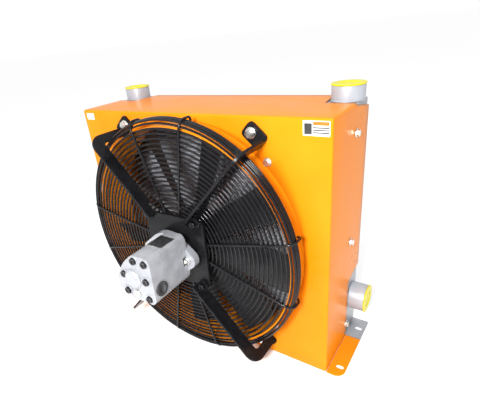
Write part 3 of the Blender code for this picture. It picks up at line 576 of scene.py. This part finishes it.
# %% Path round the housing
FOLD = 3.5 * MM
CORNER = 5 * MM
OPENING = 260.5 * MM


def round_rectangle(half_x, half_z, corner, per_corner=6, spacing=6 * MM):
    """Points round a rectangle with round corners, anticlockwise from the right side's foot."""
    out = []
    for cx, cz, start in ((1, -1, -90), (1, 1, 0), (-1, 1, 90), (-1, -1, 180)):
        a = np.radians(np.linspace(start, start + 90, per_corner + 1))
        across = cx * (half_x - corner) + corner * np.cos(a)
        up = cz * (half_z - corner) + corner * np.sin(a)
        arc = np.stack([across, up], 1)
        if out:
            gap = arc[0] - out[-1][-1]
            count = int(np.linalg.norm(gap) / spacing)
            t = np.arange(1, count)[:, None] / count
            out.append(out[-1][-1] + gap * t)
        out.append(arc)
    gap = out[0][0] - out[-1][-1]
    count = int(np.linalg.norm(gap) / spacing)
    out.append(out[-1][-1] + gap * np.arange(1, count)[:, None] / count)
    return np.concatenate(out)


# %% [markdown]
# Where the sheet ends is a function of the place on the rectangle.  Each cut-out is a smooth
# step, a few millimetres wide, so its corner comes out rounded as a laser leaves it.

# %% How deep the sheet goes
boss_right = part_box("port_boss_top_right")
boss_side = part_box("port_boss_side")
FLOOR_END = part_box("foot_flange_right")[1].y


def step(x, edge, wide):
    """0 below the edge, 1 above it, and a smooth rise between."""
    t = np.clip((x - edge) / wide + 0.5, 0, 1)
    return t * t * (3 - 2 * t)


def sheet_end(x, z):
    """The depth at which the sheet ends, for points on the rectangle."""
    end = np.full(len(x), BACK)
    corner_cut = boss_right[0].y - 9 * MM
    top = step(z, MIDDLE_Z + HALF_HIGH - 11 * MM, 2 * MM)
    near_port = step(np.abs(x), boss_right[0].x - 2.5 * MM, 2 * MM)
    end = end + (corner_cut - end) * top * near_port
    side_cut = boss_side[0].y - 2 * MM
    right = step(x, HALF_WIDE - 2 * MM, 1 * MM)
    low = 1 - step(z, boss_side[1].z + 31 * MM, 10 * MM)
    end = end + (side_cut - end) * right * low
    floor = 1 - step(z, shell_low.z + 4 * MM, 1 * MM)
    return np.minimum(end, end + (FLOOR_END - end) * floor)


# %% [markdown]
# The front panel is drawn by straight lines from the opening to the rectangle.  A smooth
# surface needs its points close together only where it bends, so the lines carry a handful of
# points and the fold carries its own quarter circle.  Solidify then gives the sheet its
# thickness, inwards.

# %% Housing surface
def housing_surface():
    """Grid of points: for each place round the rectangle, a profile from the opening to the back."""
    rim = round_rectangle(HALF_WIDE, HALF_HIGH, CORNER)
    inner = round_rectangle(HALF_WIDE - FOLD, HALF_HIGH - FOLD, CORNER - FOLD + 1 * MM)
    inner = rim * (inner / rim)
    angle = np.arctan2(rim[:, 1] + MIDDLE_Z - AXIS_Z, rim[:, 0] - AXIS_X)
    opening = np.stack([OPENING * np.cos(angle), OPENING * np.sin(angle) + AXIS_Z - MIDDLE_Z], 1)
    rows = []
    for share in (0, 0.25, 0.5, 0.75, 1):
        flat = opening + (inner - opening) * share
        rows.append(np.stack([flat[:, 0], np.full(len(flat), FRONT), flat[:, 1] + MIDDLE_Z], 1))
    for a in np.radians(np.linspace(18, 90, 5)):
        flat = inner + (rim - inner) * np.sin(a)
        sheet_y = np.full(len(flat), FRONT + FOLD * (1 - np.cos(a)))
        rows.append(np.stack([flat[:, 0], sheet_y, flat[:, 1] + MIDDLE_Z], 1))
    end = sheet_end(rim[:, 0], rim[:, 1] + MIDDLE_Z)
    for share in (0.3, 0.6, 0.9, 1):
        depth = FRONT + FOLD + (end - FRONT - FOLD) * share
        rows.append(np.stack([rim[:, 0], depth, rim[:, 1] + MIDDLE_Z], 1))
    return np.stack(rows)


surface = housing_surface()
rows, columns, _ = surface.shape
housing = piece(
    "folded_housing", surface, weave(rows, columns, False, True)[:, ::-1], ORANGE,
    stands_for=["fan_housing"], closed=False,
)
thickness = housing.modifiers.new("sheet", "SOLIDIFY")
thickness.thickness = SHEET
thickness.offset = -1
print("housing", rows, "by", columns, "points")

# %% [markdown]
# ## Collar
#
# A rolled ring stands out of the front panel and guides the air round the blade tips.  Its
# front edge is curled over, which stiffens it and gives the bright line along the rim.

# %% Collar
def collar():
    low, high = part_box("fan_collar")
    inner = 256 * MM
    outer = 259.3 * MM
    bead = 2.3 * MM
    a = np.radians(np.linspace(180, -0, 13))
    lip = np.stack([(inner + outer) / 2 + bead * np.cos(a), low.y + bead - bead * np.sin(a)], 1)
    back = FRONT + 2.8 * MM
    flange = [(outer, back - 6 * MM), (outer + 3 * MM, back), (268 * MM, back), (268 * MM, back + 3 * MM)]
    flange += [(outer, back + 3 * MM), (outer, high.y), (inner, high.y)]
    profile = np.concatenate([lip, np.array(flange)])
    points, faces = turned(profile, (AXIS_X, 0, AXIS_Z), sides=256)
    piece("rolled_collar", points, faces, ORANGE, stands_for=["fan_collar"])


collar()

# %% [markdown]
# ## Guard
#
# The basket is welded from wire.  Concentric rings cover the face about a centimetre apart,
# and four more stack up tightly round the rim.  Each spoke runs out over the rings, bends back at the
# rim, and ends in a hook towards the housing.

# %% Guard rings
RING_WIRE = 2.2 * MM
SPOKE_WIRE = 2.6 * MM
guard_low, guard_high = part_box("wire_guard")
GUARD_X = (guard_low.x + guard_high.x) / 2
GUARD_Z = (guard_low.z + guard_high.z) / 2
GUARD_R = (guard_high.x - guard_low.x) / 2 - RING_WIRE
FACE = guard_low.y + RING_WIRE


def ring(radius, behind=0.0, count=160):
    """A circle of wire round the guard's axis, so far behind its face."""
    a = np.linspace(0, 2 * np.pi, count, endpoint=False)
    path = [GUARD_X + radius * np.cos(a), np.full(count, FACE + behind), GUARD_Z + radius * np.sin(a)]
    return wire(np.stack(path, 1), (0, 1, 0), RING_WIRE, 8, True)


rings = [ring(r) for r in np.linspace(66 * MM, GUARD_R - 18 * MM, 20)]
rings += [ring(GUARD_R - 8 * MM), ring(GUARD_R - 1.5 * MM, 1 * MM)]
rings += [ring(GUARD_R, behind * MM) for behind in (6, 11, 16)]
print(len(rings), "rings of wire")


# %% [markdown]
# A spoke lies in a plane through the guard's axis, so its bends are drawn in two numbers,
# radius and depth, and then turned to its angle.  The angles are uneven: the basket leaves
# room for the four arms.

# %% Guard spokes
def spoke(degrees):
    """One bent spoke, from the inner ring out, over the rim and back to its hook."""
    turn = math.radians(degrees)
    over = FACE - RING_WIRE - SPOKE_WIRE
    rim = GUARD_R + RING_WIRE + SPOKE_WIRE
    bends = [(64 * MM, over), (rim - 14 * MM, over), (rim, FACE + 4 * MM)]
    bends += [(rim, FACE + 27 * MM), (rim - 8 * MM, FACE + 31 * MM)]
    line = soften_open(bends, 9 * MM, 6)
    path = [GUARD_X + line[:, 0] * math.cos(turn), line[:, 1], GUARD_Z + line[:, 0] * math.sin(turn)]
    return wire(np.stack(path, 1), (-math.sin(turn), 0, math.cos(turn)), SPOKE_WIRE, 8)


spokes = [spoke(a) for a in (13.4, 79.7, 108.3, 169.5, 195.6, 258.0, 285.0, 343.4)]
points, faces = gather(rings + spokes)
piece("welded_guard", points, faces, WIRE_BLACK, stands_for=["wire_guard"], smooth=60)
print("guard", len(faces), "faces")

# %% [markdown]
# ## Fan
#
# A blade is a thin curved section that twists as it goes out: steep at the hub, where the
# blade moves slowly, and flat at the tip.  The section is a loop of points round a camber
# line, and each loop is wrapped on a cylinder of its own radius, so the blade follows the
# turn.

# %% Blades
BLADES = 9
BLADE_PHASE = 31.0
BLADE_MID = FRONT - 8 * MM
HUB_R = 66 * MM
TIP_R = 250 * MM


def blade(degrees, around=36, outward=24):
    """(points, faces) of one closed blade.

    Round the loop, position along the chord is cos a and thickness is sin a, both scaled; a
    parabola adds the camber.  The chord's share that lies in the fan's plane becomes an angle.
    """
    v = np.linspace(0, 1, outward)[:, None]
    a = np.linspace(0, 2 * np.pi, around, endpoint=False)[None]
    r = (HUB_R - 4 * MM) + (TIP_R - HUB_R + 4 * MM) * v
    chord = (60 + 18 * v - 8 * np.maximum(v - 0.93, 0) / 0.07) * MM
    pitch = np.radians(36 - 13 * v)
    across = chord / 2 * np.cos(a)
    thick = (2.4 - 0.8 * v) * MM
    lift = 0.07 * chord * (1 - np.cos(a) ** 2) + thick * np.sign(np.sin(a)) * np.abs(np.sin(a)) ** 0.6
    in_plane = across * np.cos(pitch) - lift * np.sin(pitch)
    depth = BLADE_MID + across * np.sin(pitch) + lift * np.cos(pitch)
    turn = math.radians(degrees) + in_plane / r
    points = np.stack([AXIS_X + r * np.cos(turn), depth, AXIS_Z + r * np.sin(turn)], 2)
    faces = weave(outward, around, False, True).tolist()
    faces.append(list(range(around)))
    faces.append(list(range((outward - 1) * around, outward * around)))
    return points, faces


# %% [markdown]
# The hub is a cup, open at its back, round a middle boss.  Only its front rim shows between
# the plate and the guard.

# %% Hub and whole fan
def hub():
    front, back = FRONT - 34 * MM, FRONT + 18 * MM
    inner = 24.3 * MM
    corners = [(inner, front), (HUB_R - 4 * MM, front), (HUB_R, front + 6 * MM), (HUB_R, back)]
    corners += [(HUB_R - 6 * MM, back), (HUB_R - 6 * MM, front + 12 * MM)]
    corners += [(inner + 7 * MM, front + 12 * MM), (inner + 7 * MM, back - 12 * MM)]
    corners += [(inner, back - 12 * MM)]
    return turned(soften(corners, 2 * MM), (AXIS_X, 0, AXIS_Z), sides=96)


parts = [blade(BLADE_PHASE + 360 / BLADES * i) for i in range(BLADES)] + [hub()]
points, faces = gather(parts)
piece("moulded_fan", points, faces, FAN_BLACK, "fan_rotor", ["fan_impeller"], 45)
for node, finish, slot in (
    ("fan_hub_bush", ZINC, "zinc_steel"),
    ("fan_end_screw", ZINC, "zinc_steel"),
    ("drive_shaft_gear", GROUND, "gear_steel"),
):
    eased(node, finish, 0.3 * MM, "fan_rotor")
eased("idler_gear", GROUND, 0.2 * MM, "idler")
print("fan", len(faces), "faces")

# %% [markdown]
# ## Core
#
# Oil runs through flat passages, and air runs between them through folded fin strip.  A fin
# strip is a zigzag in one direction and straight in the other.  Hundreds of folds are still
# one formula: the fold number's parity says whether a point lies at the top or the bottom.

# %% Tubes and fins
block_low, block_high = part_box("core_tube_block")
PASSAGE = 3.2 * MM
ROW = 10.4 * MM
FIN_PITCH = 3.6 * MM


def passages():
    """Flat oil passages with rounded noses, one bar for each row."""
    count = int((block_high.z - block_low.z - PASSAGE) / ROW)
    pitch = (block_high.z - block_low.z - PASSAGE) / count
    depth = np.array([block_low.y, block_high.y])
    nose = soften([(depth[0], 0), (depth[1], 0), (depth[1], PASSAGE), (depth[0], PASSAGE)], 1.4 * MM, 3)
    parts = []
    for i in range(count + 1):
        z = block_low.z + i * pitch
        outline = nose + np.array([0, z])
        parts.append(pushed(outline, block_low.x, block_high.x, (0, 0, 0), "right", 0.2 * MM))
    return parts, pitch, count


def fin_strip(z, high):
    """A zigzag strip as a thin closed sheet, front to back of the core."""
    folds = int((block_high.x - block_low.x) / FIN_PITCH) * 2
    x = np.linspace(block_low.x + 1 * MM, block_high.x - 1 * MM, folds + 1)
    height = np.where(np.arange(folds + 1) % 2 == 0, z, z + high)
    gauge = 0.16 * MM
    front, back = block_low.y + 1.2 * MM, block_high.y - 1.2 * MM
    corners = [(x - gauge, front), (x - gauge, back), (x + gauge, back), (x + gauge, front)]
    layers = [np.stack([cx, np.full_like(cx, cy), height], 1) for cx, cy in corners]
    points = np.stack(layers, 1)
    faces = weave(folds + 1, 4, False, True).tolist()
    faces += [[0, 1, 2, 3], [4 * folds + k for k in (3, 2, 1, 0)]]
    return points, faces


bars, pitch, count = passages()
points, faces = gather(bars)
piece("oil_passages", points, faces, BRAZED, stands_for=["core_tube_block"])
strips = [fin_strip(block_low.z + i * pitch + PASSAGE, pitch - PASSAGE) for i in range(count)]
points, faces = gather(strips)
# The fins carry the paler copy of the brazed finish, painted light for the light between them.
piece("air_fins", points, faces, FIN_METAL_PAINTED_LIGHT, smooth=20, closed=False)
print(count, "rows of fins,", len(faces), "faces")

# %% Tanks, bars and feet
for node in ("core_bar_top", "core_bar_bottom", "header_tank_left", "header_tank_right"):
    eased(node, BRAZED, 1.2 * MM)
for side in ("left", "right"):
    eased(f"core_foot_{side}", BRAZED, 0.5 * MM)
    eased(f"foot_flange_{side}", ORANGE, 0.6 * MM)

# %% [markdown]
# Each port is a turned boss welded to its tank.  The weld is a ring of overlapping beads, which
# is a torus whose thickness ripples as it goes round.  A yellow cap with a thin rim plugs it.

# %% Ports
def weld_bead(centre, radius, along, thick=2.6 * MM, beads=44):
    """A rippled ring: the wire radius grows and shrinks once for each bead."""
    u, v, w = ALONG[along]
    a = np.linspace(0, 2 * np.pi, beads * 6, endpoint=False)[:, None]
    b = np.linspace(0, 2 * np.pi, 10, endpoint=False)[None]
    t = thick * (0.82 + 0.18 * np.abs(np.sin(a * beads / 2)))
    r = radius + t * np.cos(b)
    d = t * 0.8 * np.sin(b)
    points = np.asarray(centre, float) + (r * np.cos(a))[..., None] * u
    points = points + (r * np.sin(a))[..., None] * v + d[..., None] * w
    return points, weave(len(a), 10, True, True)


def port(name, along):
    low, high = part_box(f"port_boss_{name}")
    middle = (low + high) / 2
    u, v, w = ALONG[along]
    axis = int(np.argmax(np.abs(w)))
    base, top = low[axis], high[axis]
    centre = np.array(middle)
    centre[axis] = 0
    boss_r = 31 * MM
    oilway_r = 19 * MM
    socket_r = 22.4 * MM
    corners = [(oilway_r, base), (boss_r, base), (boss_r, top)]
    corners += [(socket_r, top), (socket_r, top - 22 * MM), (oilway_r, top - 24 * MM)]
    points, faces = turned(soften(corners, 1 * MM, 3), centre, along)
    replaced = [f"port_boss_{name}"]
    piece(f"turned_boss_{name}", points, faces, BOSS_METAL, stands_for=replaced)
    seat = centre.copy()
    seat[axis] = base + 1.2 * MM
    points, faces = weld_bead(seat, boss_r, along, 1.3 * MM)
    piece(f"weld_{name}", points, faces, BOSS_METAL, smooth=60)
    rim = 32.2 * MM
    lip = top + 0.3 * MM
    plug = 21.9 * MM
    corners = [(0, lip + 1.2 * MM), (plug - 3 * MM, lip + 1.2 * MM), (plug - 1.5 * MM, lip + 3 * MM)]
    corners += [(rim, lip + 3 * MM), (rim, lip), (plug, lip), (plug - 0.5 * MM, lip - 13 * MM)]
    corners += [(plug - 3 * MM, lip - 13 * MM), (plug - 3 * MM, lip - 1 * MM), (0, lip - 1 * MM)]
    eased_part = soften_open(corners, 0.7 * MM, 3)[1:-1]
    rounded = np.concatenate([np.array(corners[:1]), eased_part, np.array(corners[-1:])])
    points, faces = turned(rounded, centre, along)
    piece(f"cap_{name}", points, faces, YELLOW, f"cap_{name}", [f"port_cap_{name}"], 40)


port("top_left", "up")
port("top_right", "up")
port("side", "right")

# %% [markdown]
# ## Bracket
#
# Four bars on edge reach from the motor plate out over the guard and back to the housing.  The
# frame already has their bends, so they only need eased edges and paint.

# %% Plate, spacer and arms
eased("motor_plate", BAR_BLACK, 0.8 * MM)
eased("motor_spacer", BAR_BLACK, 0.8 * MM)
CORNERS = ("top_left", "top_right", "bottom_left", "bottom_right")
for corner in CORNERS:
    eased(f"bracket_arm_{corner}", BAR_BLACK, 0.9 * MM)

# %% [markdown]
# ## Fasteners
#
# The panel bolts keep the frame's hexagon heads with eased edges.  Each arm also has a smaller
# screw that holds its inner end to the plate.

# %% Panel bolts
for corner in CORNERS:
    eased(f"arm_bolt_{corner}", ZINC, 0.4 * MM)
    eased(f"collar_bolt_{corner}", ZINC, 0.3 * MM)
for side in ("left", "right"):
    for height in ("low", "mid", "high"):
        eased(f"side_bolt_{side}_{height}", ZINC, 0.3 * MM)

# %% [markdown]
# A cap screw on each arm's inner end is too small for the frame, so it is drawn here.  Its
# head is a turned cup: the profile dips down its middle where the socket is.

# %% Lug screws
def cap_screw(name, centre, head, high, finish):
    """A socket screw head that faces the front; `centre` is the middle of its seat."""
    corners = [(0, -0.5 * high), (0.52 * head, -0.5 * high), (0.58 * head, -high), (head, -high)]
    corners += [(head, 0.5 * MM), (0, 0.5 * MM)]
    line = np.concatenate([corners[:1], soften_open(corners, 0.5 * MM, 3)[1:-1], corners[-1:]])
    points, faces = turned(line, centre, sides=40)
    piece(name, points, faces, finish)


ARM_TURN = math.radians(47.5)
LUG_ALONG = 97.5 * MM
LUG_OFF = 5 * MM
lug_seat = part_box("motor_plate")[0].y - 5.4 * MM
for corner in CORNERS:
    sx = 1 if corner.endswith("right") else -1
    sz = 1 if corner.startswith("top") else -1
    x = LUG_ALONG * math.cos(ARM_TURN) - LUG_OFF * math.sin(ARM_TURN)
    z = LUG_ALONG * math.sin(ARM_TURN) + LUG_OFF * math.cos(ARM_TURN)
    seat = (AXIS_X + sx * x, lug_seat, AXIS_Z + sz * z)
    cap_screw(f"lug_screw_{corner}", seat, 6.5 * MM, 8 * MM, BLACK_OXIDE)


# %% [markdown]
# ## Motor
#
# The castings keep the frame's outline.  Generous eased edges turn it into cast metal, and
# small bosses stand under the screw heads.

# %% Motor castings
eased("motor_front_cover", CASTING, 1.6 * MM, angle=40)
eased("motor_gear_housing", CASTING, 0.5 * MM, angle=40)
eased("motor_end_cover", CASTING, 1.6 * MM, angle=40)
for number in range(1, 7):
    eased(f"motor_cover_screw_{number}", BLACK_OXIDE, 0.4 * MM)
for side in ("left", "right"):
    eased(f"motor_flange_bolt_{side}", ZINC, 0.4 * MM)
    eased(f"motor_port_plug_{side}", PLUG_BLACK, 0.5 * MM)
eased("motor_drain_plug", ZINC, 0.4 * MM)


def screw_boss(number):
    """A raised ring of the casting round a cover screw's head."""
    low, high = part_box(f"motor_cover_screw_{number}")
    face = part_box("motor_end_cover")[0].y + 4.5 * MM
    centre = ((low.x + high.x) / 2, face, (low.z + high.z) / 2)
    ring_shape = soften([(7.6 * MM, 0), (9.6 * MM, 0), (10.6 * MM, 5 * MM), (7.6 * MM, 5 * MM)], 0.8 * MM)
    return turned(ring_shape, centre, sides=40)


points, faces = gather([screw_boss(number) for number in range(1, 7)])
piece("cover_screw_bosses", points, faces, CASTING)
for node, finish, slot in (
    ("bearing_block_front", BRONZE, "bearing_bronze"), ("bearing_block_rear", BRONZE, "bearing_bronze"),
    ("shaft_seal", RUBBER, "seal_rubber"),
):
    eased(node, finish, 0.3 * MM)

# %% [markdown]
# ## Plates and labels
#
# A blank data plate is fixed to the top of the motor, and two films are stuck to the front
# panel.  They carry plain blocks of colour.  A film is an outline with round corners, pushed a
# fraction of a millimetre.

# %% Plates and labels
def film(x, z, wide, high, base, thick=0.25 * MM, corner=1.5 * MM):
    """A thin rounded rectangle on the front panel, with its middle at x and z."""
    half_x, half_z = wide / 2, high / 2
    corners = [(-half_x, -half_z), (half_x, -half_z), (half_x, half_z), (-half_x, half_z)]
    outline = soften(corners, corner, 4) + np.array([x, z])
    return pushed(outline, base - thick, base, (0, 0, 0), "depth", 0.05 * MM)


def label(name, parts, finish):
    """One label piece made of flat films, in one finish."""
    points, faces = gather(parts)
    piece(name, points, faces, finish)


label_x, label_z = HALF_WIDE - 28 * MM, MIDDLE_Z + HALF_HIGH - 17 * MM
on_top = FRONT - 0.25 * MM
label("label_ground", [film(label_x, label_z, 46 * MM, 25 * MM, FRONT)], LABEL_WHITE)
header = film(label_x + 8 * MM, label_z + 8 * MM, 27 * MM, 6 * MM, on_top, 0.1 * MM, 0.4 * MM)
label("label_header", [header], LABEL_ORANGE)
blocks = [film(label_x - 14 * MM, label_z - 1 * MM, 13 * MM, 18 * MM, on_top, 0.1 * MM, 0.4 * MM)]
blocks += [
    film(label_x + 8 * MM, label_z + dz * MM, 27 * MM, 2 * MM, on_top, 0.1 * MM, 0.3 * MM)
    for dz in (1, -3, -7)
]
label("label_blocks", blocks, LABEL_BLACK)
small_x, small_z = -HALF_WIDE + 24 * MM, MIDDLE_Z + HALF_HIGH - 15 * MM
label("label_small", [film(small_x, small_z, 26 * MM, 15 * MM, FRONT)], LABEL_WHITE)

# %% [markdown]
# The data plate lies on the flat top of the motor's cover.  It is a dark plate on a slightly
# larger bright one, which leaves a light border.

# %% Data plate
cover_low, cover_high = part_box("motor_gear_housing")


def data_plate(wide, long, base, thick):
    """A rounded rectangle on the motor's top."""
    corners = [(-wide / 2, -long / 2), (wide / 2, -long / 2), (wide / 2, long / 2), (-wide / 2, long / 2)]
    centre = (AXIS_X + 25 * MM, (cover_low.y + cover_high.y) / 2, 0)
    return pushed(soften(corners, 1.2 * MM), base, base + thick, centre, "up", 0.05 * MM)


points, faces = data_plate(36 * MM, 40 * MM, cover_high.z, 0.5 * MM)
piece("data_plate_border", points, faces, ZINC)
points, faces = data_plate(33 * MM, 37 * MM, cover_high.z + 0.5 * MM, 0.15 * MM)
piece("data_plate", points, faces, LABEL_BLACK)

# %% [markdown]
# ## Floor, light and camera
#
# The cooler stands on a plain pale floor.  Large soft lamps in front and above give broad,
# even light, and the camera looks from the front right and a little above.
# A small bright lamp beside the camera gives the sharp glints on wires and edges.

# %% Floor
def pale_floor():
    made, nodes, links, shader = bare_finish("pale_floor", (0.94, 0.94, 0.94), roughness=0.7)
    mesh = bpy.data.meshes.new("floor")
    reach = 60.0
    corners = [(-reach, -reach, 0), (reach, -reach, 0), (reach, reach, 0), (-reach, reach, 0)]
    mesh.from_pydata(corners, [], [(0, 1, 2, 3)])
    floor = bpy.data.objects.new("floor", mesh)
    floor.location.z = cad_low[2] - 0.0005
    bpy.context.scene.collection.objects.link(floor)
    mesh.materials.append(made)


pale_floor()


# %% Lamps
def soft_lamp(name, place, aim, size, power):
    """A square area lamp that looks at a point."""
    data = bpy.data.lights.new(name, "AREA")
    data.shape = "SQUARE"
    data.size = size
    data.energy = power
    lamp = bpy.data.objects.new(name, data)
    lamp.location = place
    lamp.rotation_euler = (Vector(aim) - Vector(place)).to_track_quat("-Z", "Y").to_euler()
    bpy.context.scene.collection.objects.link(lamp)


soft_lamp("key", (-1.6, -2.6, 2.6), (0, 0, 0.27), 2.2, 12)
soft_lamp("top", (0.2, 0.4, 3.2), (0, 0, 0.3), 2.6, 12)
soft_lamp("flash", (0.42, -1.15, 0.95), (0, 0, 0.27), 0.25, 30)
world = bpy.data.worlds.new("studio")
world.use_nodes = True
world.node_tree.nodes["Background"].inputs["Color"].default_value = (1, 1, 1, 1)
world.node_tree.nodes["Background"].inputs["Strength"].default_value = 1.04
bpy.context.scene.world = world
bpy.context.scene.view_settings.view_transform = "Standard"

# %% [markdown]
# The camera's place and turn are given as three directions: right, up and backwards.  They
# came from making the box edges of the housing line up.

# %% Camera
right = Vector((0.818, 0.567, -0.102)).normalized()
down = Vector((0.175, -0.413, -0.894))
forward = right.cross(down).normalized()
down = forward.cross(right).normalized()
lens = bpy.data.cameras.new("camera")
lens.sensor_width = 36
lens.lens = 28.53
lens.shift_x = 0.0457
lens.shift_y = 0.0197
lens.clip_start = 0.01
camera = bpy.data.objects.new("camera", lens)
turn = Matrix((right, -down, -forward)).transposed().to_4x4()
camera.matrix_world = Matrix.Translation((0.5117, FRONT - 0.5805, 0.6859)) @ turn
bpy.context.scene.collection.objects.link(camera)
bpy.context.scene.camera = camera
print("lens", round(lens.lens, 2), "mm")
